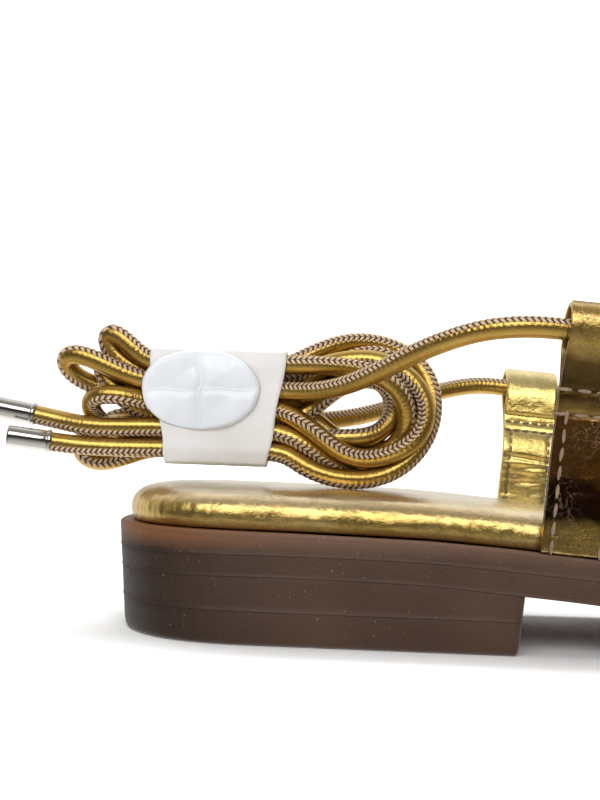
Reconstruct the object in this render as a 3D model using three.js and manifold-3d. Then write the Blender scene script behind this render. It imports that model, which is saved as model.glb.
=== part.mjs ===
// A right-foot gladiator sandal in gold leather: a stacked rubber sole with a low heel, a padded
// footbed, two side loops and a toe strap, and a rolled leather lace whose two long ties are
// folded into one banded hank that stands on the heel seat.
//
// Millimetres, +X towards the toe, +Z up, +Y towards the inner (medial) side of the foot.
// Stations are measured forward from the back of the heel; the whole sandal is moved back by half
// its length at the end, so that the origin lies on the floor in the middle of the sole.
import * as THREE from "three";
import { mergeVertices } from "three/addons/utils/BufferGeometryUtils.js";
import Module from "manifold-3d";

// Driving sizes
const soleLength = 252;
const glueLine = 0.3;
const breastStation = 79;
const topPieceThick = 6.3;
const sideSlope = 0.085;
const rimChamfer = 0.7;
const ledge = 2.1;
const plyThick = 0.85;
const strapThick = 2 * plyThick;
const loopWidth = 12.3;
const tieDiameter = 4.0;
const tunnelRadius = 2.5;
const hankHalfThick = 7;
const band = { back: 4, front: 33.4, low: 32.2, high: 56.4, thick: 0.8 };
const aglet = { length: 8.6, diameter: 4.3, capRound: 0.6 };
const sideSteps = 44;

// The plan of the sole: how far each edge lies from the middle, before the two ends are rounded.
const plan = [
  { station: 0, lateral: 28.8, medial: 28.4 },
  { station: 30, lateral: 29.5, medial: 29.0 },
  { station: 60, lateral: 30.2, medial: 28.6 },
  { station: 88, lateral: 31.0, medial: 27.4 },
  { station: 112, lateral: 33.4, medial: 26.6 },
  { station: 136, lateral: 38.8, medial: 31.5 },
  { station: 158, lateral: 43.2, medial: 39.2 },
  { station: 176, lateral: 44.0, medial: 43.3 },
  { station: 192, lateral: 43.0, medial: 44.0 },
  { station: 215, lateral: 40.6, medial: 43.2 },
  { station: 235, lateral: 37.6, medial: 41.6 },
  { station: 252, lateral: 34.0, medial: 39.5 },
];
const heelRound = { reach: 29, fullness: 2.5 };
const toeRound = { reach: 52, fullness: 2.3 };
const toeTipY = 8;

// The side of the sole: the rim's height above the floor and the two full-length layers under it.
// The forefoot lies flat on the floor between the two equal rows, and the toe springs up.
const profile = [
  { station: 0, rim: 21.1, midsole: 4.9, outsole: 4.0 },
  { station: 30, rim: 21.0, midsole: 4.2, outsole: 4.0 },
  { station: 58, rim: 20.6, midsole: 4.0, outsole: 4.1 },
  { station: 79, rim: 19.35, midsole: 4.0, outsole: 4.3 },
  { station: 92, rim: 18.3, midsole: 4.0, outsole: 4.3 },
  { station: 110, rim: 15.9, midsole: 4.0, outsole: 4.3 },
  { station: 132, rim: 11.6, midsole: 4.0, outsole: 4.3 },
  { station: 156, rim: 8.3, midsole: 4.0, outsole: 4.3 },
  { station: 186, rim: 8.3, midsole: 4.0, outsole: 4.3 },
  { station: 206, rim: 8.9, midsole: 4.0, outsole: 4.2 },
  { station: 230, rim: 10.8, midsole: 3.9, outsole: 3.9 },
  { station: 252, rim: 13.4, midsole: 3.7, outsole: 3.5 },
];

// The padded footbed from its foot to its crown: how far each ring lies in from the ledge, and up.
const padRings = [
  { inset: 0.5, rise: 0 },
  { inset: 0, rise: 2.2 },
  { inset: 0.5, rise: 4.4 },
  { inset: 2.2, rise: 6.1 },
  { inset: 5.5, rise: 7.0 },
  { inset: 11, rise: 7.4 },
];
const padToeShare = 0.8;
const padThinsFrom = 120;

// The two side loops. Heights are above the rim; lean is how far the top stands outwards, and the
// fold is a soft crease in the slack strap, given by its height, its depth and how long it is.
const loops = [
  { name: "lateral_loop", side: -1, station: 86.4, height: 45.2, tunnel: 40.3, stitches: 29.6,
    lean: 2.6, foldAt: 17, foldDepth: 0.5, foldSpan: 6 },
  { name: "medial_loop", side: 1, station: 88.2, height: 37.6, tunnel: 33.2, stitches: 23.4,
    lean: 9, foldAt: 19, foldDepth: 2.2, foldSpan: 7 },
];
const forwardTilt = 4;
const edgeMargin = 0.1;
const turnIn = 1.8;
const cornerShare = 0.3;
const footLength = 9;
const leanPower = 1.6;
// The loops' tunnel is round above the tie and slack below it, by this share of its radius.
const tunnelSlack = 1.4;
const tunnelSides = 16;

// The toe strap, by its rear and front edges. Crown is the inside height above the rim.
const toeStrap = [
  { station: 154, crown: 41.5 },
  { station: 165, crown: 39.2 },
  { station: 176, crown: 36.6 },
  { station: 187, crown: 33.6 },
];
const archCentreY = 4;
const archFullness = 2.5;
const archSteps = 30;
const bandSteps = 6;
const laceTunnel = { station: 160.5, rise: 2.2, outer: 3.9, reach: 15, above: 20 };

// The lace's outline at each side, from the toe strap's tunnel back to the loop, by hand. The
// rows between the two fixed ends hang a little, as a lace does that holds no foot.
const laceRoutes = {
  lateral_loop: [
    [160.5, -13.9, 50.7], [160.1, -18.1, 50.4], [157.7, -22.2, 50.1], [153.3, -25.4, 49.6],
    [146.0, -27.6, 49.4], [135.0, -29.3, 51.0], [122.0, -30.9, 53.8], [110.5, -31.8, 56.6],
  ],
  medial_loop: [
    [160.2, 22.0, 49.5], [157.9, 26.4, 48.5], [153.3, 29.8, 47.4], [146.0, 32.0, 46.4],
    [135.0, 33.2, 46.2], [122.0, 33.8, 47.6], [111.5, 33.9, 49.6],
  ],
};

// The free ties, from behind the loops down to the hank on the heel seat, by hand.
const tieRoutes = {
  lateral_loop: [
    [75.0, -32.0, 59.9], [68.5, -30.0, 59.2], [61.5, -25.8, 57.1], [54.5, -20.3, 53.9],
    [47.8, -14.8, 50.3], [41.6, -10.9, 47.5], [37.4, -9.4, 46.3], [34.2, -9.3, 46.0],
  ],
  medial_loop: [
    [76.5, 33.2, 52.6], [69.8, 31.0, 51.2], [62.6, 26.6, 48.7], [55.4, 20.9, 45.9],
    [48.4, 15.0, 43.7], [42.0, 10.9, 42.5], [37.6, 9.4, 42.1], [34.2, 9.3, 42.0],
  ],
};
// Where each tie's last stretch comes out of the hank's rear end, and where its aglet starts.
const tieEnds = {
  lateral_loop: { from: [-15.6, -2.8, 40.9], to: [-18.6, -3.0, 41.4] },
  medial_loop: { from: [-12.9, -4.9, 35.8], to: [-14.7, -5.3, 36.0] },
};
// The side view of the hank: folds at both ends and a waist where the band holds it.
const hankOutline = [
  [64, 46], [61.5, 54], [54, 59.6], [45, 60.6], [39, 58], [34.2, 55.2], [19, 55.2], [3.2, 55.2],
  [-1.5, 58.6], [-7, 61], [-12.6, 60], [-16.2, 54], [-15.6, 45], [-11.8, 37.2], [-7, 30.3],
  [-2, 31], [3.2, 33.4], [19, 33.4], [34.2, 33.4], [39.5, 30.4], [46, 28.9], [55, 30.8],
  [61.5, 37.4],
];
const hankSides = 60;

// Colours
const brownRubber = { color: 0x4d3629, roughness: 0.55, metalness: 0 };
const darkRubber = { color: 0x42291c, roughness: 0.6, metalness: 0 };
const goldLeather = { color: 0xb08a35, roughness: 0.35, metalness: 0.7 };
const goldTie = { color: 0xa8813c, roughness: 0.45, metalness: 0.55 };
const whitePaper = { color: 0xe9e6e1, roughness: 0.8, metalness: 0 };
const silver = { color: 0xcfcdc9, roughness: 0.15, metalness: 1 };

const wasm = await Module();
wasm.setup();

// Value of a table's column at a station, along a curve that never overshoots its rows.
function along(table, column, station) {
  const last = table.length - 1;
  const at = THREE.MathUtils.clamp(station, table[0].station, table[last].station);
  let k = 0;
  while (k < last - 1 && at > table[k + 1].station) k++;
  const steepness = (i) => {
    if (i < 0 || i >= last) return 0;
    return (table[i + 1][column] - table[i][column]) / (table[i + 1].station - table[i].station);
  };
  const tangent = (i) => {
    if (i === 0) return steepness(0);
    if (i === last) return steepness(last - 1);
    const before = steepness(i - 1);
    const after = steepness(i);
    return before * after > 0 ? (2 * before * after) / (before + after) : 0;
  };
  const span = table[k + 1].station - table[k].station;
  const t = (at - table[k].station) / span;
  const fromLow = table[k][column] * (1 + 2 * t) * (1 - t) ** 2 + tangent(k) * span * t * (1 - t) ** 2;
  const toHigh = table[k + 1][column] * t * t * (3 - 2 * t) - tangent(k + 1) * span * t * t * (1 - t);
  return fromLow + toHigh;
}

// How much of its width the sole has left at a distance from one end.
function roundEnd(distance, { reach, fullness }) {
  if (distance >= reach) return 1;
  return (1 - ((reach - distance) / reach) ** fullness) ** (1 / fullness);
}

// The edge of the sole in plan; side is -1 for lateral and 1 for medial.
function edgeY(station, side) {
  const middle = (toeTipY * station) / soleLength;
  const heelShare = roundEnd(station, heelRound);
  const toeShare = roundEnd(soleLength - station, toeRound);
  const reach = along(plan, side < 0 ? "lateral" : "medial", station) - side * middle;
  return middle + side * reach * heelShare * toeShare;
}

// The closed outline of the sole, moved in by inset: heel back, lateral side, toe tip, medial side.
function outlineRing(inset) {
  const station = (k) => (soleLength / 2) * (1 - Math.cos((Math.PI * k) / sideSteps));
  const ring = [];
  for (let k = 0; k <= sideSteps; k++) ring.push([station(k), edgeY(station(k), -1)]);
  for (let k = sideSteps - 1; k > 0; k--) ring.push([station(k), edgeY(station(k), 1)]);
  return ring.map(([x, y], i) => {
    const [xa, ya] = ring[(i + ring.length - 1) % ring.length];
    const [xb, yb] = ring[(i + 1) % ring.length];
    const length = Math.hypot(xb - xa, yb - ya);
    return [x - ((yb - ya) / length) * inset, y + ((xb - xa) / length) * inset];
  });
}

const rimTop = (station) => along(profile, "rim", station);
const midsoleFoot = (station) => rimTop(station) - along(profile, "midsole", station);
const outsoleFoot = (station) => midsoleFoot(station) - along(profile, "outsole", station);

// A closed mesh from triangles of points, without the ones that have shrunk to a line.
function closedGeometry(triangles) {
  const same = (a, b) => a.every((value, k) => Math.abs(value - b[k]) < 1e-6);
  const whole = triangles.filter(([a, b, c]) => !same(a, b) && !same(b, c) && !same(c, a));
  const geometry = new THREE.BufferGeometry();
  geometry.setAttribute("position", new THREE.Float32BufferAttribute(whole.flat(2), 3));
  geometry.computeVertexNormals();
  return geometry;
}

// A solid that follows the sole's outline: one ring for each level, and a face over each end.
// A level has an inset and a height that depends on the station.
function slab(levels) {
  const rings = levels.map(({ inset, height }) => outlineRing(inset).map(([x, y]) => [x, y, height(x)]));
  const count = 2 * sideSteps;
  const triangles = [];
  for (let k = 0; k + 1 < rings.length; k++) {
    for (let i = 0; i < count; i++) {
      const [a, b] = [rings[k][i], rings[k][(i + 1) % count]];
      const [c, d] = [rings[k + 1][(i + 1) % count], rings[k + 1][i]];
      triangles.push([a, b, c], [a, c, d]);
    }
  }
  const low = rings[0];
  const high = rings[rings.length - 1];
  for (let i = 0; i < sideSteps; i++) {
    const [m, n] = [(count - i) % count, count - i - 1];
    triangles.push([low[i], low[n], low[i + 1]], [low[i], low[m], low[n]]);
    triangles.push([high[i], high[i + 1], high[n]], [high[i], high[n], high[m]]);
  }
  return closedGeometry(triangles);
}

// Geometry to solid and back, for joining and cutting
function toSolid(geometry) {
  const bare = geometry.index ? geometry.toNonIndexed() : geometry.clone();
  bare.deleteAttribute("normal");
  bare.deleteAttribute("uv");
  const merged = mergeVertices(bare, 1e-4);
  return new wasm.Manifold(new wasm.Mesh({
    numProp: 3,
    vertProperties: merged.attributes.position.array,
    triVerts: new Uint32Array(merged.index.array),
  }));
}

function toGeometry(solid) {
  const mesh = solid.getMesh();
  const geometry = new THREE.BufferGeometry();
  geometry.setAttribute("position", new THREE.Float32BufferAttribute(mesh.vertProperties, 3));
  geometry.setIndex(new THREE.Uint32BufferAttribute(mesh.triVerts, 1));
  const flat = geometry.toNonIndexed();
  flat.computeVertexNormals();
  return flat;
}

const sandal = new THREE.Group();
const shoe = new THREE.Group();
shoe.position.x = -soleLength / 2;
sandal.add(shoe);

function piece(name, geometry, finish) {
  const mesh = new THREE.Mesh(geometry, new THREE.MeshStandardMaterial(finish));
  mesh.name = name;
  shoe.add(mesh);
  return mesh;
}

// Sole: the side slopes in a little towards the floor, as a moulded heel's does.
const slopeInset = (station, height) => (rimTop(station) - height) * sideSlope;
const slopeStation = 75.6;
const sloped = (height) => ({ inset: slopeInset(slopeStation, height(slopeStation)), height });

piece("midsole", slab([
  sloped(midsoleFoot),
  { inset: 0.05, height: (s) => rimTop(s) - rimChamfer },
  { inset: rimChamfer, height: rimTop },
]), brownRubber);

const outsoleTop = (station) => midsoleFoot(station) - glueLine;
piece("outsole", slab([sloped(outsoleFoot), sloped(outsoleTop)]), darkRubber);

// Heel: a lift and a top piece behind the breast, both cut square across.
const behindBreast = new THREE.BoxGeometry(2 * breastStation, soleLength, soleLength);
function heelLayer(low, high) {
  const clampedHigh = (station) => high(Math.min(station, breastStation));
  return toGeometry(toSolid(slab([sloped(low), sloped(clampedHigh)])).intersect(toSolid(behindBreast)));
}
const liftTop = (station) => outsoleFoot(station) - glueLine;
const topPieceTop = () => topPieceThick;
piece("heel_lift", heelLayer(() => topPieceThick + glueLine, liftTop), brownRubber);
piece("top_piece", heelLayer(() => 0, topPieceTop), brownRubber);

// Footbed: padded and thinner towards the toe. It stands on the ledge inside the rim.
const padThins = (station) => THREE.MathUtils.smoothstep(station, padThinsFrom, soleLength);
const padShare = (station) => 1 - (1 - padToeShare) * padThins(station);
const padHeight = (station, rise) => rimTop(station) + glueLine + rise * padShare(station);
let footbed = toSolid(slab(padRings.map(({ inset, rise }) => ({
  inset: ledge + inset,
  height: (s) => padHeight(s, rise),
}))));

// Side loops. Each strip of leather goes up from the ledge, folds over at the top and is stitched
// to itself, which leaves a flat tunnel for the tie.
const tilt = THREE.MathUtils.degToRad(forwardTilt);
const acrossToLength = new THREE.Matrix4().makeBasis(
  new THREE.Vector3(0, 1, 0),
  new THREE.Vector3(0, 0, 1),
  new THREE.Vector3(1, 0, 0),
);

function strapCentre(loop, height) {
  const share = height / loop.height;
  const fold = loop.foldDepth * Math.exp(-(((height - loop.foldAt) / loop.foldSpan) ** 2));
  return strapThick / 2 + loop.lean * share ** leanPower - fold;
}

// Half the thickness of the loop at a height: the strip itself, then the tunnel's teardrop.
function strapHalf(loop, height) {
  const widest = tunnelRadius + plyThick;
  if (height <= loop.stitches) return strapThick / 2;
  if (height <= loop.tunnel) {
    const t = (height - loop.stitches) / (loop.tunnel - loop.stitches);
    return THREE.MathUtils.lerp(strapThick / 2, widest, t * t * (3 - 2 * t));
  }
  const over = (height - loop.tunnel) / (loop.height - loop.tunnel);
  return widest * Math.sqrt(Math.max(0, 1 - over * over));
}

function loopShape(loop) {
  const heights = [strapThick, 8, 12, 16, 20, 24, 27];
  const levels = heights.filter((h) => h < loop.stitches - 1);
  for (let k = 0; k <= 6; k++) levels.push(THREE.MathUtils.lerp(loop.stitches, loop.tunnel, k / 6));
  for (let k = 1; k < 5; k++) {
    levels.push(loop.tunnel + (loop.height - loop.tunnel) * Math.sin((k * Math.PI) / 10));
  }
  const outer = levels.map((h) => new THREE.Vector2(strapCentre(loop, h) + strapHalf(loop, h), h));
  const inner = levels.map((h) => new THREE.Vector2(strapCentre(loop, h) - strapHalf(loop, h), h));
  const top = new THREE.Vector2(strapCentre(loop, loop.height), loop.height);
  const shape = new THREE.Shape([
    new THREE.Vector2(-footLength, 0),
    new THREE.Vector2(strapThick, 0),
    ...outer,
    top,
    ...inner.reverse(),
    new THREE.Vector2(-footLength, strapThick),
  ]);
  const hole = [];
  const topRoom = loop.height - loop.tunnel - plyThick;
  for (let k = 0; k < tunnelSides; k++) {
    const turn = (2 * Math.PI * k) / tunnelSides;
    const reach = Math.sin(turn) > 0 ? topRoom : tunnelRadius * tunnelSlack;
    const height = loop.tunnel + reach * Math.sin(turn);
    hole.push(new THREE.Vector2(strapCentre(loop, height) + tunnelRadius * Math.cos(turn), height));
  }
  shape.holes.push(new THREE.Path(hole));
  return shape;
}

// A point on a loop, from its middle: forward, outward from the strap's inner face, and up.
function onLoop(loop, forward, outward, up) {
  const face = edgeY(loop.station, loop.side) - loop.side * (strapThick + edgeMargin);
  const base = rimTop(loop.station) + glueLine;
  return new THREE.Vector3(
    loop.station + forward * Math.cos(tilt) + up * Math.sin(tilt),
    face + loop.side * outward,
    base - forward * Math.sin(tilt) + up * Math.cos(tilt),
  );
}

// The footbed has a shallow pocket for the strap's foot and for the strap at its side.
function pocket(loop, fromY, toY, height) {
  const size = [loopWidth + 2 * glueLine, toY - fromY + 2 * glueLine, height + 2 * glueLine];
  const box = new THREE.BoxGeometry(...size);
  box.translate(0, (loop.side * (fromY + toY)) / 2, height / 2);
  box.rotateY(tilt);
  box.translate(...onLoop(loop, 0, 0, 0).toArray());
  return toSolid(box);
}

for (const loop of loops) {
  const strip = new THREE.ExtrudeGeometry(loopShape(loop), { depth: loopWidth, bevelEnabled: false });
  strip.applyMatrix4(acrossToLength);
  strip.translate(-loopWidth / 2, 0, 0);
  if (loop.side < 0) strip.rotateZ(Math.PI);
  const mesh = piece(loop.name, strip, goldLeather);
  mesh.rotation.y = tilt;
  mesh.position.copy(onLoop(loop, 0, 0, 0));
  footbed = footbed
    .subtract(pocket(loop, -footLength, strapThick, strapThick))
    .subtract(pocket(loop, 0, strapThick, padRings[padRings.length - 1].rise));
}

// Toe strap: one band over the ball of the foot, its two feet under the footbed. The path is the
// middle of the leather in one section, from the lateral foot over the arch to the medial foot.
function archPath(station, crown, foot = footLength) {
  const base = rimTop(station) + glueLine + strapThick / 2;
  const wall = (side) => edgeY(station, side) - side * (strapThick / 2 + edgeMargin);
  const corner = (side) => [wall(side) - side * cornerShare * turnIn, base + cornerShare * turnIn];
  const path = [[wall(-1) + foot, base], [wall(-1) + turnIn, base], corner(-1)];
  for (let k = 0; k <= archSteps; k++) {
    const turn = Math.PI * (1 - k / archSteps);
    const across = Math.sign(Math.cos(turn)) * Math.abs(Math.cos(turn)) ** (2 / archFullness);
    const up = Math.abs(Math.sin(turn)) ** (2 / archFullness);
    const reach = across < 0 ? archCentreY - wall(-1) : wall(1) - archCentreY;
    path.push([archCentreY + across * reach, base + turnIn + up * (crown - strapThick)]);
  }
  path.push(corner(1), [wall(1) - turnIn, base], [wall(1) - foot, base]);
  return path;
}

// A band of even thickness along a row of paths, one path for each station.
function ribbon(rows, thickness) {
  const sheets = rows.map(({ station, path }) => path.map(([y, z], i) => {
    const [ya, za] = path[Math.max(i - 1, 0)];
    const [yb, zb] = path[Math.min(i + 1, path.length - 1)];
    const length = Math.hypot(yb - ya, zb - za);
    const [ny, nz] = [(-(zb - za) / length) * (thickness / 2), ((yb - ya) / length) * (thickness / 2)];
    return { outer: [station, y + ny, z + nz], inner: [station, y - ny, z - nz] };
  }));
  const quads = [];
  const last = rows.length - 1;
  const end = sheets[0].length - 1;
  for (let i = 0; i < end; i++) {
    for (let k = 0; k < last; k++) {
      const [a, b, c, d] = [sheets[k][i], sheets[k][i + 1], sheets[k + 1][i + 1], sheets[k + 1][i]];
      quads.push([d.outer, c.outer, b.outer, a.outer], [a.inner, b.inner, c.inner, d.inner]);
    }
    const [rear, rearNext] = [sheets[0][i], sheets[0][i + 1]];
    const [front, frontNext] = [sheets[last][i], sheets[last][i + 1]];
    quads.push([rear.outer, rearNext.outer, rearNext.inner, rear.inner]);
    quads.push([front.inner, frontNext.inner, frontNext.outer, front.outer]);
  }
  for (let k = 0; k < last; k++) {
    const [low, lowNext] = [sheets[k][0], sheets[k + 1][0]];
    const [high, highNext] = [sheets[k][end], sheets[k + 1][end]];
    quads.push([low.inner, lowNext.inner, lowNext.outer, low.outer]);
    quads.push([high.outer, highNext.outer, highNext.inner, high.inner]);
  }
  return closedGeometry(quads.flatMap(([a, b, c, d]) => [[a, b, c], [a, c, d]]));
}

// A round tube along a smooth curve through points
function tube(points, radius, sides, steps) {
  const circle = new THREE.Shape();
  for (let k = 0; k < sides; k++) {
    const turn = (2 * Math.PI * k) / sides;
    const [x, y] = [radius * Math.cos(turn), radius * Math.sin(turn)];
    if (k) circle.lineTo(x, y);
    else circle.moveTo(x, y);
  }
  const extrudePath = new THREE.CatmullRomCurve3(points, false, "centripetal");
  return new THREE.ExtrudeGeometry(circle, { steps, extrudePath, bevelEnabled: false });
}

const strapRear = toeStrap[0].station;
const strapFront = toeStrap[toeStrap.length - 1].station;
const crownAt = (station) => along(toeStrap, "crown", station);
function toeBand(margin) {
  const rows = [];
  for (let k = 0; k <= bandSteps; k++) {
    const station = THREE.MathUtils.lerp(strapRear - margin, strapFront + margin, k / bandSteps);
    rows.push({ station, path: archPath(station, crownAt(station), footLength + margin) });
  }
  return toSolid(ribbon(rows, strapThick + 2 * margin));
}

// The lace's tunnel lies across the top of the strap, near its rear edge.
const tunnelPath = archPath(laceTunnel.station, crownAt(laceTunnel.station));
function overStrap(reach) {
  const lowest = rimTop(laceTunnel.station) + laceTunnel.above;
  return tunnelPath
    .filter(([y, z]) => Math.abs(y - archCentreY) < reach && z > lowest)
    .map(([y, z]) => new THREE.Vector3(laceTunnel.station, y, z + laceTunnel.rise));
}
const boreOverrun = 8;
const tunnelWall = toSolid(tube(overStrap(laceTunnel.reach), laceTunnel.outer, 12, 20));
const tunnelBore = toSolid(tube(overStrap(laceTunnel.reach + boreOverrun), tunnelRadius, 12, 26));
piece("toe_strap", toGeometry(toeBand(0).add(tunnelWall).subtract(tunnelBore)), goldLeather);
piece("footbed", toGeometry(footbed.subtract(toeBand(glueLine))), goldLeather);

// Lace: one length from the lateral loop through the toe strap's tunnel to the medial loop.
const tieRadius = tieDiameter / 2;
const tieSides = 8;
const asPoint = ([x, y, z]) => new THREE.Vector3(x, y, z);
function throughLoop(loop, from, to) {
  const centre = strapCentre(loop, loop.tunnel);
  return [from, to].map((forward) => onLoop(loop, forward, centre, loop.tunnel));
}
const [lateral, medial] = loops;
const mouth = loopWidth / 2;
const straightOut = mouth + 4;
piece("lace", tube([
  ...throughLoop(lateral, -mouth, 0),
  ...throughLoop(lateral, mouth, straightOut),
  ...laceRoutes.lateral_loop.map(asPoint).reverse(),
  ...overStrap(laceTunnel.reach),
  ...laceRoutes.medial_loop.map(asPoint),
  ...throughLoop(medial, straightOut, mouth),
  ...throughLoop(medial, 0, -mouth),
], tieRadius, tieSides, 76), goldTie);

// Ties: free from the loops' rear mouths to the hank, and out of it again to the aglets.
for (const loop of loops) {
  const exit = throughLoop(loop, -mouth - glueLine, -straightOut);
  piece(loop.name.replace("loop", "tie"),
    tube([...exit, ...tieRoutes[loop.name].map(asPoint)], tieRadius, tieSides, 24), goldTie);

  const { from, to } = tieEnds[loop.name];
  const stub = tube([asPoint(from), asPoint(to)], tieRadius, tieSides, 1);
  piece(loop.name.replace("loop", "tie_end"), stub, goldTie);

  const direction = asPoint(to).sub(asPoint(from)).normalize();
  const { length, diameter, capRound } = aglet;
  const body = new THREE.LatheGeometry([
    new THREE.Vector2(0, 0),
    new THREE.Vector2(diameter / 2, 0),
    new THREE.Vector2(diameter / 2, length - capRound),
    new THREE.Vector2(diameter / 2 - capRound, length),
    new THREE.Vector2(0, length),
  ], 16);
  const cap = piece(loop.name.replace("loop", "aglet"), body, silver);
  cap.quaternion.setFromUnitVectors(new THREE.Vector3(0, 1, 0), direction);
  cap.position.copy(asPoint(to).addScaledVector(direction, glueLine));
}

// Hank: the outer shape of the folded ties, standing on its long edge on the heel seat.
const hankPoints = hankOutline.map(([x, z]) => new THREE.Vector3(x, z, 0));
const hankCurve = new THREE.CatmullRomCurve3(hankPoints, true, "centripetal");
const hankCorners = hankCurve.getPoints(hankSides).slice(0, -1);
const hankShape = new THREE.Shape(hankCorners.map(({ x, y }) => new THREE.Vector2(x, y)));
const hankSize = { depth: 2 * hankHalfThick, bevelEnabled: false };
const hankSolid = new THREE.ExtrudeGeometry(hankShape, hankSize);
hankSolid.rotateX(Math.PI / 2);
hankSolid.translate(0, hankHalfThick, 0);
piece("tie_hank", hankSolid, goldTie);

// Band: a strip of plain white paper wrapped once round the middle of the hank.
function sleeve(length, margin) {
  const halfThick = hankHalfThick + glueLine + margin;
  const height = band.high - band.low - 2 * (band.thick - margin);
  const box = new THREE.BoxGeometry(length, 2 * halfThick, height);
  box.translate((band.front + band.back) / 2, 0, (band.high + band.low) / 2);
  return toSolid(box);
}
const bandLength = band.front - band.back;
const bandSolid = sleeve(bandLength, band.thick).subtract(sleeve(2 * bandLength, 0));
piece("hank_band", toGeometry(bandSolid), whitePaper);

export default sandal;
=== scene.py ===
import math

import bmesh
import bpy
import numpy as np
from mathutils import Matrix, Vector


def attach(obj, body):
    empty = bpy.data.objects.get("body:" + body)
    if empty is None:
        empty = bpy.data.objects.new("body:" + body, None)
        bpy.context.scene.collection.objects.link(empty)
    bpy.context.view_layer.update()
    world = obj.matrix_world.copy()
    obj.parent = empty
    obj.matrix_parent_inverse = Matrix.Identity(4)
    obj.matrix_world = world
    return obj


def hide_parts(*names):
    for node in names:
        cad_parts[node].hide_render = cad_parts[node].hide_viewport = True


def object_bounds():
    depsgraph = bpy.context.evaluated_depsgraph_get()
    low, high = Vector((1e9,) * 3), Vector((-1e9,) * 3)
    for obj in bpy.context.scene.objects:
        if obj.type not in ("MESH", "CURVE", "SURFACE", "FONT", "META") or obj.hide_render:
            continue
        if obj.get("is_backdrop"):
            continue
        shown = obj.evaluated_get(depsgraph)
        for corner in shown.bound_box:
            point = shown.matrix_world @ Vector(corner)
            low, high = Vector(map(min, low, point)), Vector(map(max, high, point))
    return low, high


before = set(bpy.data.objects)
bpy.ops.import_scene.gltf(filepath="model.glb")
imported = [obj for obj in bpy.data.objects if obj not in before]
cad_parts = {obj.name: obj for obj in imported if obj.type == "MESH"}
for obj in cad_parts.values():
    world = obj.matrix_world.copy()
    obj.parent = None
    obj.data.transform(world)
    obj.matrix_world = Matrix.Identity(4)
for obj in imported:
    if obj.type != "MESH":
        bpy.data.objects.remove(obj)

cad_low, cad_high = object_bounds()

# Camera: a close view square on to the lateral side of the heel, from just above the footbed and
# rolled a little, so that the floor falls away to the right.
camera = bpy.data.objects.new("camera", bpy.data.cameras.new("camera"))
bpy.context.scene.collection.objects.link(camera)
bpy.context.scene.camera = camera
camera.location = (-0.090, -0.2295, 0.038)
camera.rotation_euler = (math.radians(90), math.radians(-2.1), 0)
camera.data.lens = 49.5
camera.data.shift_y = 0.051
camera.data.clip_start = 0.01
camera.data.clip_end = 20

# Ties: two round cords of gold leather, rolled round a core and closed with a beige overcast
# seam. Each leaves its side loop, is folded back and forth into the hank and ends in a metal tip.
# Sizes are in millimetres here; stations are measured forward from the back of the heel.
SOLE_LENGTH = 252
TIE_DIAMETER = 4.0
# While the ties settle, their points are a step apart, the start of each is held still, and
# bends tighter than this radius are eased.
TIE_STEP = 2.0
HELD_LEAD = 38
TIGHTEST = 2.8
TIE_LEADS = {
    "lateral": [
        (84.3, -32.1, 59.6), (82.83, -32.15, 59.7), (79.1, -32.2, 59.95), (75.0, -32.0, 59.9),
        (68.5, -30.0, 59.2), (61.5, -25.8, 57.1), (54.5, -20.3, 53.9), (47.8, -14.8, 50.3),
        (41.6, -10.6, 47.9), (37.0, -7.8, 47.6), (32.0, -5.3, 48.2),
    ],
    "medial": [
        (85.6, 33.75, 52.4), (84.1, 33.8, 52.5), (80.4, 33.9, 52.8), (76.5, 33.2, 52.6), (69.8, 31.0, 51.2),
        (62.6, 26.6, 48.7), (55.4, 20.9, 45.9), (48.4, 15.0, 43.7), (42.0, 10.9, 42.6),
        (37.6, 8.0, 42.3), (32.5, 5.3, 42.2),
    ],
}
TIE_TAILS = {
    "lateral": [
        (9.0, -5.0, 40.0), (3.0, -5.2, 39.8), (-4.0, -4.9, 39.9), (-10.0, -3.7, 40.2),
        (-15.6, -2.8, 40.9), (-18.6, -3.0, 41.4),
    ],
    "medial": [
        (9.0, -5.0, 35.9), (3.0, -5.3, 35.6), (-3.0, -5.4, 35.3), (-8.0, -5.0, 35.4),
        (-12.9, -4.9, 35.8), (-14.7, -5.3, 36.0),
    ],
}
# The band holds the runs in four lanes, one behind the other, with five or four rows in each.
FIVE_ROWS = (35.9, 40.1, 44.3, 48.5, 52.7)
FOUR_ROWS = (38.0, 42.2, 46.4, 50.6)
LANES = {
    "front": (-5.0, FIVE_ROWS),
    "second": (-1.65, FOUR_ROWS),
    "third": (1.65, FIVE_ROWS),
    "back": (5.0, FOUR_ROWS),
}
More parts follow.
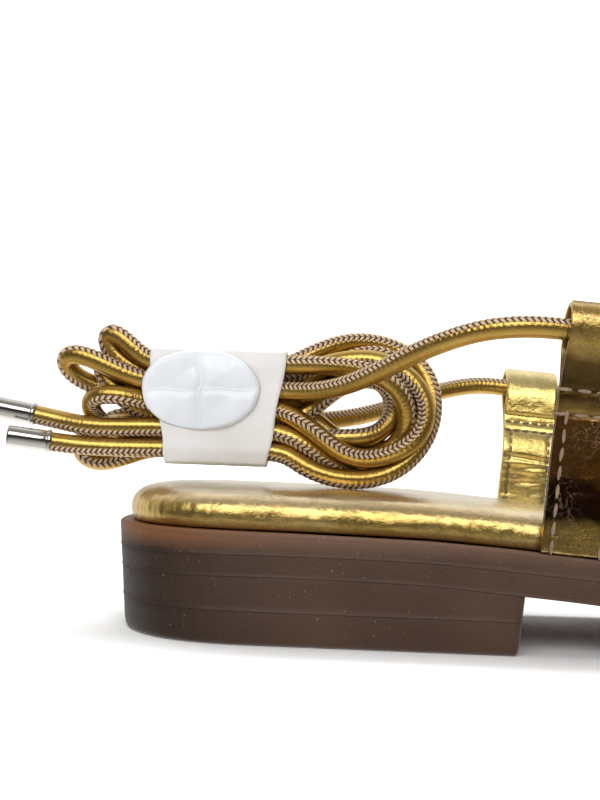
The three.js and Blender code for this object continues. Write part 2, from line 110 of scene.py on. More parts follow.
# The folds at the heel's end, as station and height, and the sizes of those at the toe's end.
REAR_FOLDS = {
    "long": [(2, 49.2), (-3, 50.6), (-8, 53.0), (-11.2, 54.9), (-13.8, 55.2), (-14.2, 52.6), (-11.8, 50.8),
             (-8, 49.1), (-3, 47.2), (2, 46.2)],
    "steep": [(5, 53.2), (3.2, 55.8), (1.0, 58.2), (-1.6, 60.2), (-4.6, 60.2), (-5.6, 57.6), (-3.2, 54.8),
              (0.2, 52.2), (4.0, 50.6)],
    "short": [(3, 46.6), (0, 48.6), (-3.4, 50.4), (-6.6, 52.0), (-7.0, 55.0), (-3.8, 55.7),
              (0, 53.4), (3, 50.2)],
    "wide": [(3, 45.4), (-1, 46.9), (-5, 47.2), (-8.2, 45.2), (-8.8, 41.8), (-6.2, 39.2), (-1, 38.2)],
    "low": [(2, 35.6), (-2, 33.2), (-6, 31.2), (-9.6, 32.2), (-10.8, 35.6), (-8.8, 38.8),
            (-4, 39.9), (1, 39.9)],
    "inner": [(2, 36.6), (-1, 35.4), (-4.4, 34.9), (-7.0, 36.6), (-7.0, 40.0), (-4.4, 41.8), (0, 42.0)],
    "tucked": [(3, 44.6), (-1, 45.4), (-3.8, 48.4), (-1, 51.8), (3, 52.6)],
}
FRONT_FOLDS = {"big": (13.0, 13.9), "large": (11.3, 11.9), "middle": (9.2, 9.8), "small": (7.6, 8.0)}
FOLD_CENTRE = (49.0, 44.3)
FOLD_SWEEP = 112
# The stations where a fold leaves the band at its two ends.
REAR_MOUTH = 9
FRONT_MOUTH = 29
# The band's hold on the runs, and the footbed's top under the hank plus the tie's own radius.
HELD_STATIONS = (3.5, 34)
HELD_HEIGHTS = (35.3, 53.3)
HELD_SIDE = 5.2
SEAT_STATIONS = (0, 30, 58)
SEAT_HEIGHTS = (30.85, 30.75, 30.35)
# Each tie's folds in order: the two slots that a fold joins, then its form.
TIE_FOLDS = {
    "lateral": [
        ("front", 3, "second", 2, "long"), ("second", 2, "front", 4, "middle"),
        ("front", 4, "second", 3, "steep"), ("second", 3, "front", 2, "large"),
        ("front", 2, "second", 0, "wide"), ("second", 0, "second", 1, "small"),
        ("second", 1, "third", 3, "short"), ("third", 3, "front", 1, "big"),
    ],
    "medial": [
        ("back", 1, "back", 0, "inner"), ("back", 0, "back", 3, "large"),
        ("back", 3, "back", 2, "tucked"), ("back", 2, "third", 0, "middle"),
        ("third", 0, "third", 1, "low"), ("third", 1, "third", 2, "small"),
        ("third", 2, "third", 4, "tucked"), ("third", 4, "front", 0, "big"),
    ],
}


def fold_points(lane_in, row_in, lane_out, row_out, form):
    """One fold of the hank, from the band out and back to it."""
    y_in, y_out = LANES[lane_in][0], LANES[lane_out][0]
    z_in, z_out = LANES[lane_in][1][row_in], LANES[lane_out][1][row_out]
    if form in REAR_FOLDS:
        side = REAR_FOLDS[form]
        if (side[-1][1] - side[0][1]) * (z_out - z_in) < 0:
            side = side[::-1]
        mouth = REAR_MOUTH
    else:
        reach, rise = FRONT_FOLDS[form]
        turns = np.radians(np.linspace(FOLD_SWEEP, -FOLD_SWEEP, 9)) * (1 if z_in > z_out else -1)
        side = [(FOLD_CENTRE[0] + reach * math.cos(t), FOLD_CENTRE[1] + rise * math.sin(t)) for t in turns]
        mouth = FRONT_MOUTH
    points = [(mouth, y_in, z_in)]
    for k, (x, z) in enumerate(side):
        share = k / (len(side) - 1)
        if form in REAR_FOLDS:
            share = min(1, max(0, (share - 0.25) / 0.5))
        points.append((x, y_in + (y_out - y_in) * share, z))
    return points + [(mouth, y_out, z_out)]


def even_path(points, step):
    """A smooth curve through the points, cut into even steps."""
    knots = np.array(points, float)
    knots = np.vstack([2 * knots[0] - knots[1], knots, 2 * knots[-1] - knots[-2]])
    times = np.r_[0, np.cumsum(np.linalg.norm(np.diff(knots, axis=0), axis=1) ** 0.5)]
    curve = []
    for i in range(1, len(knots) - 2):
        for t in np.linspace(times[i], times[i + 1], 24, endpoint=False):
            row, at = knots[i - 1:i + 3], times[i - 1:i + 3]
            for level in (1, 2, 3):
                left, right = at[:-level], at[level:]
                if level == 3:
                    left, right = at[1:2], at[2:3]
                elif level == 2:
                    left, right = at[0:2], at[2:4]
                share = ((t - left) / (right - left))[:, None]
                row = row[:-1] * (1 - share) + row[1:] * share
            curve.append(row[0])
    curve = np.array(curve + [knots[-2]])
    run = np.r_[0, np.cumsum(np.linalg.norm(np.diff(curve, axis=0), axis=1))]
    stops = np.linspace(0, run[-1], max(2, round(run[-1] / step)) + 1)
    return np.stack([np.interp(stops, run, curve[:, k]) for k in range(3)], axis=1)


def settle(cords, rounds=360, apart=4.14, search=9, search_every=12, neighbours=6,
           homing=0.01, easing=0.2, pushing=1.4, evening=0.45):
    """The cords pushed apart and smoothed, inside the band and off the footbed, in many small
    moves: home to their plan, straighter, apart, and to even steps. The last step rounds them."""
    counts = [len(c) for c in cords]
    points = np.vstack(cords)
    planned = points.copy()
    owner = np.repeat(np.arange(len(cords)), counts)
    number = np.arange(len(points))
    close = (owner[:, None] == owner) & (abs(number[:, None] - number) < neighbours)
    first, second = np.nonzero(np.triu(~close, 1))
    loose = np.ones(len(points))
    for k, count in enumerate(counts):
        start = sum(counts[:k])
        loose[start:start + round(HELD_LEAD / TIE_STEP)] = 0
        loose[start + count - 2:start + count] = 0
    links = number[:-1][owner[:-1] == owner[1:]]
    for turn in range(rounds):
        if turn % search_every == 0:
            span = np.linalg.norm(points[second] - points[first], axis=1)
            near_a, near_b = first[span < search], second[span < search]
        points += (planned - points) * homing * loose[:, None]
        for reach in (1, 2):
            inner = number[2 * reach:-2 * reach]
            inner = inner[owner[inner - 2 * reach] == owner[inner + 2 * reach]]
            bend = (points[inner - 2 * reach] - 4 * points[inner - reach] + 6 * points[inner]
                    - 4 * points[inner + reach] + points[inner + 2 * reach])
            points[inner] -= bend / 32 * loose[inner][:, None]
        inner = number[1:-1][owner[:-2] == owner[2:]]
        bend = points[inner - 1] - 2 * points[inner] + points[inner + 1]
        size = np.linalg.norm(bend, axis=1)
        sharp = (size > TIE_STEP ** 2 / TIGHTEST) & (loose[inner] > 0)
        ease = easing * bend[sharp]
        points[inner[sharp]] += ease
        points[inner[sharp] - 1] -= ease / 2
        points[inner[sharp] + 1] -= ease / 2
        gap = points[near_b] - points[near_a]
        span = np.linalg.norm(gap, axis=1)
        hit = span < apart
        a, b = near_a[hit], near_b[hit]
        push = gap[hit] * ((apart - span[hit]) / span[hit])[:, None]
        moves, shares = np.zeros_like(points), np.zeros(len(points))
        both = np.maximum(loose[a] + loose[b], 1)
        np.add.at(moves, a, -push * (loose[a] / both)[:, None])
        np.add.at(moves, b, push * (loose[b] / both)[:, None])
        np.add.at(shares, a, 1)
        np.add.at(shares, b, 1)
        points += moves / np.maximum(shares, 1)[:, None] * pushing
        for some in (links[::2], links[1::2]):
            step = points[some + 1] - points[some]
            span = np.linalg.norm(step, axis=1)
            mean = np.array([span[owner[some] == k].mean() for k in range(len(cords))])[owner[some]]
            pull = (span - mean)[:, None] * step / span[:, None] * evening
            points[some] += pull * loose[some][:, None]
            points[some + 1] -= pull * loose[some + 1][:, None]
        free = loose > 0
        held = free & (points[:, 0] > HELD_STATIONS[0]) & (points[:, 0] < HELD_STATIONS[1])
        points[held, 2] = np.clip(points[held, 2], *HELD_HEIGHTS)
        points[held, 1] = np.clip(points[held, 1], -HELD_SIDE, HELD_SIDE)
        seat = np.interp(points[:, 0], SEAT_STATIONS, SEAT_HEIGHTS)
        points[free, 2] = np.maximum(points[free, 2], seat[free])
    settled = [even_path(cord, TIE_STEP) for cord in np.split(points, np.cumsum(counts)[:-1])]
    for cord in settled:
        for _ in range(3):
            cord[1:-1] += (cord[:-2] - 2 * cord[1:-1] + cord[2:]) / 6
    return settled


def metres(points):
    """Points in the row frame, from stations and heights in millimetres."""
    return (np.asarray(points, float) - (SOLE_LENGTH / 2, 0, 0)) / 1000


def mesh_piece(name, points, faces, material, smooth=True):
    """A mesh object at the origin, from points in metres."""
    mesh = bpy.data.meshes.new(name)
    mesh.from_pydata([tuple(p) for p in points], [], faces)
    mesh.polygons.foreach_set("use_smooth", [smooth] * len(mesh.polygons))
    mesh.materials.append(material)
    mesh.update()
    made = bpy.data.objects.new(name, mesh)
    bpy.context.scene.collection.objects.link(made)
    return made


def skin(name, rings, material, wrap=True, caps=True, lids=False, smooth=True):
    """Quads between rings of equal count. Caps close each end by a fan, lids by one flat face."""
    rings = np.asarray(rings)
    rows, count = rings.shape[:2]
    points = rings.reshape(-1, 3)
    i = np.arange(count if wrap else count - 1)
    j = (i + 1) % count
    faces = []
    for k in range(rows - 1):
        low, high = k * count, (k + 1) * count
        faces += np.stack([low + i, low + j, high + j, high + i], axis=1).tolist()
    if caps:
        middles = np.stack([rings[0].mean(axis=0), rings[-1].mean(axis=0)])
        points = np.vstack([points, middles])
        last = (rows - 1) * count
        faces += [[int(b), int(a), rows * count] for a, b in zip(i, j)]
        faces += [[last + int(a), last + int(b), rows * count + 1] for a, b in zip(i, j)]
    if lids:
        faces += [list(range(count))[::-1], list(range((rows - 1) * count, rows * count))]
    return mesh_piece(name, points, faces, material, smooth)


class Finish:
    """A material, with short ways to add and join its nodes."""

    def __init__(self, name, **sockets):
        self.material = bpy.data.materials.new(name)
        self.material.use_nodes = True
        self.tree = self.material.node_tree
        self.shader = self.tree.nodes["Principled BSDF"]
        self.set(**sockets)

    def set(self, **sockets):
        for name, value in sockets.items():
            self.feed(self.shader.inputs[name.replace("_", " ")], value)

    def feed(self, socket, value):
        if isinstance(value, bpy.types.NodeSocket):
            self.tree.links.new(value, socket)
        else:
            socket.default_value = value

    def add(self, kind, *values, out=0, **settings):
        node = self.tree.nodes.new("ShaderNode" + kind)
        for name, value in settings.items():
            setattr(node, name, value)
        for socket, value in zip(node.inputs, values):
            if value is not None:
                self.feed(socket, value)
        return node.outputs[out]

    def sum(self, operation, *values):
        return self.add("Math", *values, operation=operation)

    def at(self, scale=(1, 1, 1)):
        """Object coordinates, stretched by scale."""
        place = self.add("TexCoord", out=3)
        return self.add("Mapping", place, None, None, scale)

    def noise(self, where, scale, detail=2.0, rough=0.5, bend=0.0):
        return self.add("TexNoise", where, None, scale, detail, rough, 2.0, None, None, bend)

    def ramp(self, value, *stops):
        node = self.tree.nodes.new("ShaderNodeValToRGB")
        self.feed(node.inputs[0], value)
        band = node.color_ramp.elements
        while len(band) < len(stops):
            band.new(0.5)
        for element, (place, colour) in zip(band, stops):
            element.position = place
            element.color = (*colour, 1) if len(colour) == 3 else (colour[0],) * 3 + (1,)
        return node.outputs[0]

    def blend(self, share, low, high):
        node = self.tree.nodes.new("ShaderNodeMix")
        node.data_type = "RGBA"
        for socket, value in zip((0, 6, 7), (share, low, high)):
            self.feed(node.inputs[socket], (*value, 1) if isinstance(value, tuple) else value)
        return node.outputs[2]

    def relief(self, height, depth, strength=1.0, under=None):
        node = self.tree.nodes.new("ShaderNodeBump")
        node.inputs["Strength"].default_value = strength
        node.inputs["Distance"].default_value = depth
        self.feed(node.inputs["Height"], height)
        if under is not None:
            self.feed(node.inputs["Normal"], under)
        return node.outputs[0]


SEAM_PITCH = 1.1
SEAM_HALF = 1.0
SEAM_SLANT = 0.62
SEAM_EDGE = 0.56
rolled = Finish("rolled gold leather", IOR=1.45)
along_tie = rolled.add("UVMap", uv_map="cord")
run, turned, _ = rolled.tree.nodes.new("ShaderNodeSeparateXYZ").outputs
rolled.feed(run.node.inputs[0], along_tie)
across = rolled.sum("MULTIPLY", rolled.sum("ABSOLUTE", rolled.sum("SUBTRACT", turned, 0.5)),
                    math.pi * TIE_DIAMETER)
beat = rolled.sum("MULTIPLY", run, 1 / SEAM_PITCH)
teeth = rolled.sum("PINGPONG", beat, 0.5)
slant = rolled.sum("ADD", beat, rolled.sum("MULTIPLY", across, SEAM_SLANT))
thread = rolled.ramp(rolled.sum("PINGPONG", slant, 0.5), (0.10, (0.0,)), (0.24, (1.0,)))
edge = rolled.sum("ADD", across, rolled.sum("MULTIPLY", teeth, 0.5))
in_seam = rolled.ramp(rolled.sum("DIVIDE", edge, 2 * SEAM_HALF), (0.47, (1.0,)), (0.53, (0.0,)))
middle_line = rolled.ramp(across, (0.03, (0.35,)), (0.12, (1.0,)))
threads = rolled.sum("MULTIPLY", thread, middle_line)
tie_at = rolled.at()
wide = rolled.noise(tie_at, 90, 3)
fine = rolled.noise(tie_at, 900, 3)
gold = rolled.blend(wide, (0.34, 0.195, 0.038), (0.68, 0.46, 0.125))
# Painted shade: between the slanted threads and along the seam's middle the colour falls to a near-black
# brown, shade painted into the gaps.
thread_with_painted_gap_shade = rolled.blend(threads, (0.095, 0.045, 0.018), (0.62, 0.45, 0.30))
rolled.set(
    Base_Color=rolled.blend(in_seam, gold, thread_with_painted_gap_shade),
    Metallic=rolled.ramp(rolled.sum("MULTIPLY", in_seam, threads), (0.0, (0.92,)), (1.0, (0.12,))),
    Roughness=rolled.ramp(in_seam, (0.0, (0.27,)), (1.0, (0.5,))),
)
wrinkles = rolled.noise(rolled.add("CombineXYZ", rolled.sum("MULTIPLY", run, 2.2), turned, 0.0), 1.0, 3)
creased = rolled.relief(rolled.sum("ADD", wrinkles, rolled.sum("MULTIPLY", fine, 0.4)), 0.00018, 0.7)
rolled.set(Normal=rolled.relief(rolled.sum("MULTIPLY", in_seam, threads), 0.00022, 1.0, creased))

# The corners of a cord's section, close together in the seam and further apart round its back.
SEAM_ANGLES = np.r_[np.linspace(-SEAM_EDGE, SEAM_EDGE, 11),
                    np.linspace(SEAM_EDGE, 2 * math.pi - SEAM_EDGE, 15)[1:-1]]
RING_STEP = 0.275
RIDGE = 0.15


def cord_mesh(name, path, seam_turn):
    """A rolled cord along a path in millimetres; the seam faces the front, turned by seam_turn."""
    path = even_path(path, RING_STEP)
    run = np.r_[0, np.cumsum(np.linalg.norm(np.diff(path, axis=0), axis=1))]
    along = np.gradient(path, axis=0)
    along /= np.linalg.norm(along, axis=1)[:, None]
    front = np.tile((0.05, -1.0, 0.0), (len(path), 1))
    front -= along * (front * along).sum(axis=1)[:, None]
    front /= np.linalg.norm(front, axis=1)[:, None]
    side = np.cross(along, front)
    turn = seam_turn(run)[:, None] + SEAM_ANGLES
    seam = np.abs(SEAM_ANGLES) < SEAM_EDGE + 0.01
    slant = np.abs(SEAM_ANGLES) * (TIE_DIAMETER / 2) * SEAM_SLANT
    phase = run[:, None] / SEAM_PITCH + slant
    ridge = np.where(seam, RIDGE * (0.5 - 0.5 * np.cos(2 * math.pi * phase)) - 0.05, 0.0)
    radius = TIE_DIAMETER / 2 - 0.04 + ridge
    around = np.cos(turn)[:, :, None] * front[:, None] + np.sin(turn)[:, :, None] * side[:, None]
    rings = metres(path[:, None] + around * radius[:, :, None])
    made = skin(name, rings, rolled.material)
    count = len(SEAM_ANGLES)
    share = (np.r_[SEAM_ANGLES, SEAM_ANGLES[0] + 2 * math.pi] / (2 * math.pi) + 0.5)
    corner = np.empty(len(made.data.loops), dtype=np.int64)
    made.data.loops.foreach_get("vertex_index", corner)
    row, column = np.minimum(corner // count, len(path) - 1), corner % count
    uv = np.stack([run[row], share[column]], axis=1)
    quads = (len(path) - 1) * count
    wrapped = uv[:quads * 4].reshape(quads, 4, 2)
    last_column = np.arange(quads) % count == count - 1
    wrapped[last_column, 1:3, 1] = share[count]
    uv[:quads * 4] = wrapped.reshape(-1, 2)
    made.data.uv_layers.new(name="cord").data.foreach_set("uv", uv.ravel())
    return made


def tie_turn(stages):
    """How far up the seam is turned along a tie, in radians, from (share of the length, turn)."""
    shares, turns = zip(*stages)
    return lambda run: np.interp(run / run[-1], shares, turns) + 0.22 * np.sin(run / 13.0)


SEAM_TURNS = {
    "lateral": tie_turn([(0, 0.75), (0.44, 0.7), (0.58, -0.8), (1, -0.65)]),
    "medial": tie_turn([(0, 0.9), (0.5, 0.3), (0.7, -0.8), (1, -0.8)]),
}
tie_paths = settle([
    even_path([*TIE_LEADS[side], *(p for fold in TIE_FOLDS[side] for p in fold_points(*fold)),
               *TIE_TAILS[side]], TIE_STEP)
    for side in ("lateral", "medial")
])

# Aglets: the ties' polished tips, each a drawn silver-coloured tube with a rolled rim where the
# cord goes in and a rounded far end.
AGLET_LENGTH = 8.6
AGLET_RADIUS = 2.15
AGLET_GAP = 0.3
# The profile from the rim to the tip, as distance along the tube and radius.
AGLET_PROFILE = [
    (-0.2, 1.95), (-0.3, 2.12), (-0.2, 2.3), (0.05, 2.38), (0.35, 2.36), (0.55, 2.2), (0.65, 2.1),
    (0.8, AGLET_RADIUS), (3.0, AGLET_RADIUS), (6.0, AGLET_RADIUS), (AGLET_LENGTH - 0.6, AGLET_RADIUS),
    (AGLET_LENGTH - 0.3, 2.05), (AGLET_LENGTH - 0.1, 1.8), (AGLET_LENGTH, 1.4), (AGLET_LENGTH, 0.8),
]
silver = Finish("polished silver", Base_Color=(0.55, 0.53, 0.50, 1), Metallic=1.0, Roughness=0.1)
scuffs = silver.noise(silver.at(), 1400, 2)
silver.set(Normal=silver.relief(scuffs, 0.00003, 0.5))


def make_aglet(side):
    start, end = (np.array(p) for p in TIE_TAILS[side][-2:])
    forward = (end - start) / np.linalg.norm(end - start)
    across = np.cross(forward, (0, 0, 1))
    across /= np.linalg.norm(across)
    upward = np.cross(across, forward)
    turns = np.linspace(0, 2 * math.pi, 33)[:-1]
    round_it = np.outer(np.cos(turns), across) + np.outer(np.sin(turns), upward)
    rings = [end + forward * (AGLET_GAP + at) + round_it * radius for at, radius in AGLET_PROFILE]
    made = skin(f"{side}_aglet_tube", metres(rings), silver.material)
    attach(made, "root")
    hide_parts(f"{side}_aglet")
    return made


aglets = {side: make_aglet(side) for side in ("lateral", "medial")}
for side, path in zip(("lateral", "medial"), tie_paths):
    tie = cord_mesh(f"{side}_tie_cord", path, SEAM_TURNS[side])
    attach(tie, "root")
    if side == "lateral":
        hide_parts("lateral_tie", "lateral_tie_end", "tie_hank")
    else:
        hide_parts("medial_tie", "medial_tie_end")
    centre = metres(even_path(path, 1.0))
    float(np.linalg.norm(np.diff(centre, axis=0), axis=1).sum())

# Paper band: a plain strip of white paper wrapped once round the hank, narrower at its foot, and
# closed in front with a crumpled oval paper seal.
BAND = {"half_thick": 7.85, "half_high": 11.95, "middle": 44.3, "corner": 9, "paper": 0.2}
BAND_EDGES = {"rear": (9.0, 4.8), "front": (29.4, 32.9)}
SEAL = {"station": 15.6, "height": 47.6, "half_long": 11.9, "half_high": 8.1, "lift": 0.1,
        "off": 0.36}

paper = Finish("white paper", Roughness=0.62, Subsurface_Weight=0.12,
               Subsurface_Radius=(0.002, 0.002, 0.002))
paper_at = paper.at()
fibre = paper.noise(paper_at, 1500, 4)
cockle = paper.noise(paper_at, 110, 2)
paper.set(Base_Color=paper.blend(cockle, (0.68, 0.655, 0.635), (0.77, 0.76, 0.76)),
          Normal=paper.relief(paper.sum("ADD", fibre, cockle), 0.00006, 0.6))
foil = Finish("seal paper", Roughness=0.34, Coat_Weight=0.3, Coat_Roughness=0.25)
foil_at = foil.at()
crumple = foil.noise(foil_at, 160, 2, 0.4, 0.4)
foil.set(Base_Color=foil.blend(foil.noise(foil_at, 90, 2), (0.62, 0.64, 0.68), (0.76, 0.785, 0.83)),
         Normal=foil.relief(crumple, 0.0004, 0.5))


def ripple(u, v, seed, waves=7, pitch=1.0):
    """Smooth uneven waves from -1 to 1 over two coordinates, the same on each run."""
    draw = np.random.default_rng(seed)
    total = 0
    for _ in range(waves):
        turn, phase, stretch = draw.uniform(0, math.pi), draw.uniform(0, 6.28), draw.uniform(0.6, 1.7)
        total = total + np.sin((u * math.cos(turn) + v * math.sin(turn)) * 6.28 / (pitch * stretch) + phase)
    return total / waves ** 0.5 / 1.6


def band_face(turn, lift=0.0):
    """Half thickness and height of the band's section at an angle; -pi/2 is down, pi is the front."""
    c, s = np.cos(turn), np.sin(turn)
    power = 2 / BAND["corner"]
    y = (BAND["half_thick"] + lift) * np.sign(c) * np.abs(c) ** power
    z = BAND["middle"] + (BAND["half_high"] + lift) * np.sign(s) * np.abs(s) ** power
    return y, z


band_turns = np.linspace(0, 2 * math.pi, 145)[:-1]
band_y, band_z = band_face(band_turns)
rings = []
for share in np.linspace(0, 1, 34):
    height = (band_z - BAND["middle"]) / BAND["half_high"]
    rear = np.interp(height, (-1, 1), BAND_EDGES["rear"]) + 0.25 * np.sin(band_z * 0.7)
    front = np.interp(height, (-1, 1), BAND_EDGES["front"]) + 0.2 * np.sin(band_z * 0.5 + 1)
    station = rear + (front - rear) * share
    strands = 0.10 * np.cos(2 * math.pi * (band_z - 35.9) / 4.2) * (np.abs(height) < 0.93)
    folds = 0.12 * ripple(station, band_z, 5, 5, 11.0) + 0.05 * ripple(station, band_z, 6, 6, 4.0)
    swell = 1 + (strands + folds) / BAND["half_thick"]
    rings.append(np.stack([station, band_y * swell, band_z + 0.1 * folds], axis=1))
band = skin("paper_band", metres(rings), paper.material, caps=False)
wall = band.modifiers.new("paper", "SOLIDIFY")
wall.thickness = BAND["paper"] / 1000
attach(band, "root")
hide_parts("hank_band")

# The seal's crumples: which way each set of creases faces, how far apart they are and how deep.
SEAL_CREASES = [(0.5, 6.5, 0.50), (2.2, 4.6, 0.40), (1.35, 8.0, 0.50), (2.8, 3.7, 0.22), (0.1, 5.3, 0.28)]
# The seal follows the band's front face, with a crease along each of its two axes.
rings = []
angles = np.linspace(0, 2 * math.pi, 241)[:-1]
for radius in np.linspace(1.0, 0.02, 64):
    wobble = 1 + 0.008 * np.sin(5 * angles + 1) + 0.004 * np.sin(11 * angles)
    dx = SEAL["half_long"] * radius * np.sign(np.cos(angles)) * np.abs(np.cos(angles)) ** 0.94 * wobble
    dz = SEAL["half_high"] * radius * np.sign(np.sin(angles)) * np.abs(np.sin(angles)) ** 0.94 * wobble
    height = SEAL["height"] + dz
    level = np.clip((height - BAND["middle"]) / BAND["half_high"], -1, 1)
    depth = BAND["half_thick"] * (1 - np.abs(level) ** BAND["corner"]) ** (1 / BAND["corner"])
    upright = np.abs(dx - 0.35 * np.sin(dz * 0.9))
    level_crease = np.abs(dz - 0.05 * dx - 0.25 * np.sin(dx * 0.6))
    ridges = 0.42 * np.exp(-(upright / 0.22) ** 2) + 0.28 * np.exp(-(level_crease / 0.18) ** 2)
    quarters = (1 - 0.75 * np.exp(-upright / 1.1)) * (1 - 0.6 * np.exp(-level_crease / 0.9))
    facets = sum(deep * np.abs((dx * math.cos(turn) + dz * math.sin(turn)) / apart % 2 - 1)
                 for turn, apart, deep in SEAL_CREASES)
    lift = SEAL["off"] + (SEAL["lift"] * quarters + ridges + facets * quarters) * (1 - radius ** 24)
    rings.append(np.stack([SEAL["station"] + dx, -depth - lift, height], axis=1))
seal = skin("paper_seal", metres(rings)[::-1], foil.material, caps=True)
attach(seal, "root")

# Sole layers: four layers of brown moulded rubber, stacked and fused, with a fine raised line
# left at each joint. The top layer ends in a rim and the heel's front is cut square.
PLAN = {
    "station": (0, 30, 60, 88, 112, 136, 158, 176, 192, 215, 235, 252),
    "lateral": (28.8, 29.5, 30.2, 31.0, 33.4, 38.8, 43.2, 44.0, 43.0, 40.6, 37.6, 34.0),
    "medial": (28.4, 29.0, 28.6, 27.4, 26.6, 31.5, 39.2, 43.3, 44.0, 43.2, 41.6, 39.5),
}
SIDE = {
    "station": (0, 30, 58, 79, 92, 110, 132, 156, 186, 206, 230, 252),
    "rim": (21.1, 21.0, 20.6, 19.35, 18.3, 15.9, 11.6, 8.3, 8.3, 8.9, 10.8, 13.4),
    "midsole": (4.9, 4.2, 4.0, 4.0, 4.0, 4.0, 4.0, 4.0, 4.0, 4.0, 3.9, 3.7),
    "outsole": (4.0, 4.0, 4.1, 4.3, 4.3, 4.3, 4.3, 4.3, 4.3, 4.2, 3.9, 3.5),
}
HEEL_ROUND = (29, 2.5)
TOE_ROUND = (52, 2.3)
TOE_TIP_Y = 8
BREAST = 79
TOP_PIECE = 6.3
SIDE_SLOPE = 0.085
SLOPE_STATION = 75.6
JOINT_LINE = 0.3
HEEL_CORNER = 2.8
LAP = 0.05
FLOOR_EDGE = 1.0
RIM_EDGE = 0.55
RAISED_LINE = [(0.0, 0.0), (-0.09, 0.04), (-0.10, 0.2), (-0.02, 0.34)]


def along(table, column, station):
    """A column's value at each station, on a curve that never overshoots its rows."""
    x, y = np.array(table["station"], float), np.array(table[column], float)
    steep = np.diff(y) / np.diff(x)
    before, after = steep[:-1], steep[1:]
    same = before * after > 0
    between = np.where(same, 2 * before * after / np.where(same, before + after, 1), 0)
    slopes = np.r_[steep[0], between, steep[-1]]
    at = np.clip(station, x[0], x[-1])
    k = np.clip(np.searchsorted(x, at) - 1, 0, len(x) - 2)
    span = x[k + 1] - x[k]
    t = (at - x[k]) / span
    return (y[k] * (1 + 2 * t) * (1 - t) ** 2 + slopes[k] * span * t * (1 - t) ** 2
            + y[k + 1] * t * t * (3 - 2 * t) - slopes[k + 1] * span * t * t * (1 - t))


def rounded_end(distance, reach, fullness):
    inside = np.clip((reach - distance) / reach, 0, 1)
    return (1 - inside ** fullness) ** (1 / fullness)


def edge_y(station, side):
    """The sole's edge in plan; side is -1 for lateral and 1 for medial."""
    station = np.asarray(station, float)
    middle = TOE_TIP_Y * station / SOLE_LENGTH
    reach = along(PLAN, "lateral" if side < 0 else "medial", station) - side * middle
    reach = side * reach * rounded_end(station, *HEEL_ROUND)
    return middle + reach * rounded_end(SOLE_LENGTH - station, *TOE_ROUND)


def rim_top(station):
    return along(SIDE, "rim", station)


def midsole_foot(station):
    return rim_top(station) - along(SIDE, "midsole", station)


def outsole_foot(station):
    return midsole_foot(station) - along(SIDE, "outsole", station)


def even_ring(points, count):
    """A closed outline cut into even steps, from its first point."""
    ring = np.vstack([points, points[:1]])
    run = np.r_[0, np.cumsum(np.linalg.norm(np.diff(ring, axis=0), axis=1))]
    stops = np.linspace(0, run[-1], count + 1)[:-1]
    return np.stack([np.interp(stops, run, ring[:, k]) for k in range(2)], axis=1)


def outline(count):
    """The sole's outline: heel back, lateral side, toe tip, medial side."""
    station = SOLE_LENGTH / 2 * (1 - np.cos(np.linspace(0, math.pi, 400)))
    there = np.stack([station, edge_y(station, -1)], axis=1)
    back = np.stack([station, edge_y(station, 1)], axis=1)[::-1][1:-1]
    return even_ring(np.vstack([there, back]), count)


def inset_ring(ring, inset):
    """A closed outline moved in by inset along its own normals."""
    ahead, behind = np.roll(ring, -1, axis=0), np.roll(ring, 1, axis=0)
    step = ahead - behind
    step /= np.linalg.norm(step, axis=1)[:, None]
    return ring + np.stack([-step[:, 1], step[:, 0]], axis=1) * np.reshape(inset, (-1, 1))


def slab_rings(ring, levels):
    """Rings of points for levels of (inset, height at a station)."""
    rings = []
    for inset, height in levels:
        flat = inset_ring(ring, inset)
        rings.append(np.column_stack([flat, height(flat[:, 0])]))
    return rings


rubber = Finish("brown rubber", Roughness=0.52, IOR=1.42, Subsurface_Weight=0.06,
                Subsurface_Radius=(0.004, 0.002, 0.001), Coat_Weight=0.04, Coat_Roughness=0.4)
rubber_at = rubber.at()
cloud = rubber.ramp(rubber.noise(rubber_at, 38, 3), (0.3, (0.0,)), (0.7, (1.0,)))
length_split = rubber.tree.nodes.new("ShaderNodeSeparateXYZ")
rubber.feed(length_split.inputs[0], rubber_at)
lengthways, _, upwards = length_split.outputs
specks = rubber.ramp(rubber.noise(rubber_at, 1900, 1), (0.73, (0.0,)), (0.80, (1.0,)))
base = rubber.blend(cloud, (0.058, 0.027, 0.015), (0.090, 0.046, 0.028))
back = rubber.sum("ADD", lengthways, SOLE_LENGTH / 2000)
# Painted shade: towards the heel's back the colour is darkened to near black, fully within 4 mm of it and
# fading out by 40 mm.
base = rubber.blend(rubber.ramp(back, (0.004, (1.0,)), (0.040, (0.0,))), base, (0.016, 0.006, 0.002))
# Painted highlight: from about 17 mm up, just under the rim, the brown is blended towards a lighter, warmer
# colour, more orange within 40 mm of the heel's back.
height = rubber.sum("ADD", rubber.sum("MULTIPLY", upwards, 20), rubber.sum("MULTIPLY", cloud, 0.01))
painted_highlight_share = rubber.ramp(height, (0.345, (0.0,)), (0.400, (0.8,)))
painted_highlight_colour = rubber.blend(rubber.ramp(back, (0.004, (0.0,)), (0.040, (1.0,))),
                    (0.190, 0.066, 0.012), (0.150, 0.078, 0.050))
with_painted_highlight = rubber.blend(painted_highlight_share, base, painted_highlight_colour)
rubber.set(Base_Color=rubber.blend(rubber.sum("MULTIPLY", specks, 0.5), with_painted_highlight, (0.40, 0.27, 0.17)),
           Normal=rubber.relief(rubber.sum("ADD", rubber.noise(rubber_at, 1100, 3), specks), 0.00012, 0.6))


def sole_piece(name, node, ring, levels):
    """One layer, closed over its top and its foot."""
    made = skin(name, metres(slab_rings(ring, levels)), rubber.material, caps=False, lids=True)
    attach(made, "root")
    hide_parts(node)
    return made


def sloped(height):
    """The inset of the sole's side at a height, as it slopes in towards the floor."""
    return float((rim_top(SLOPE_STATION) - height(SLOPE_STATION)) * SIDE_SLOPE)


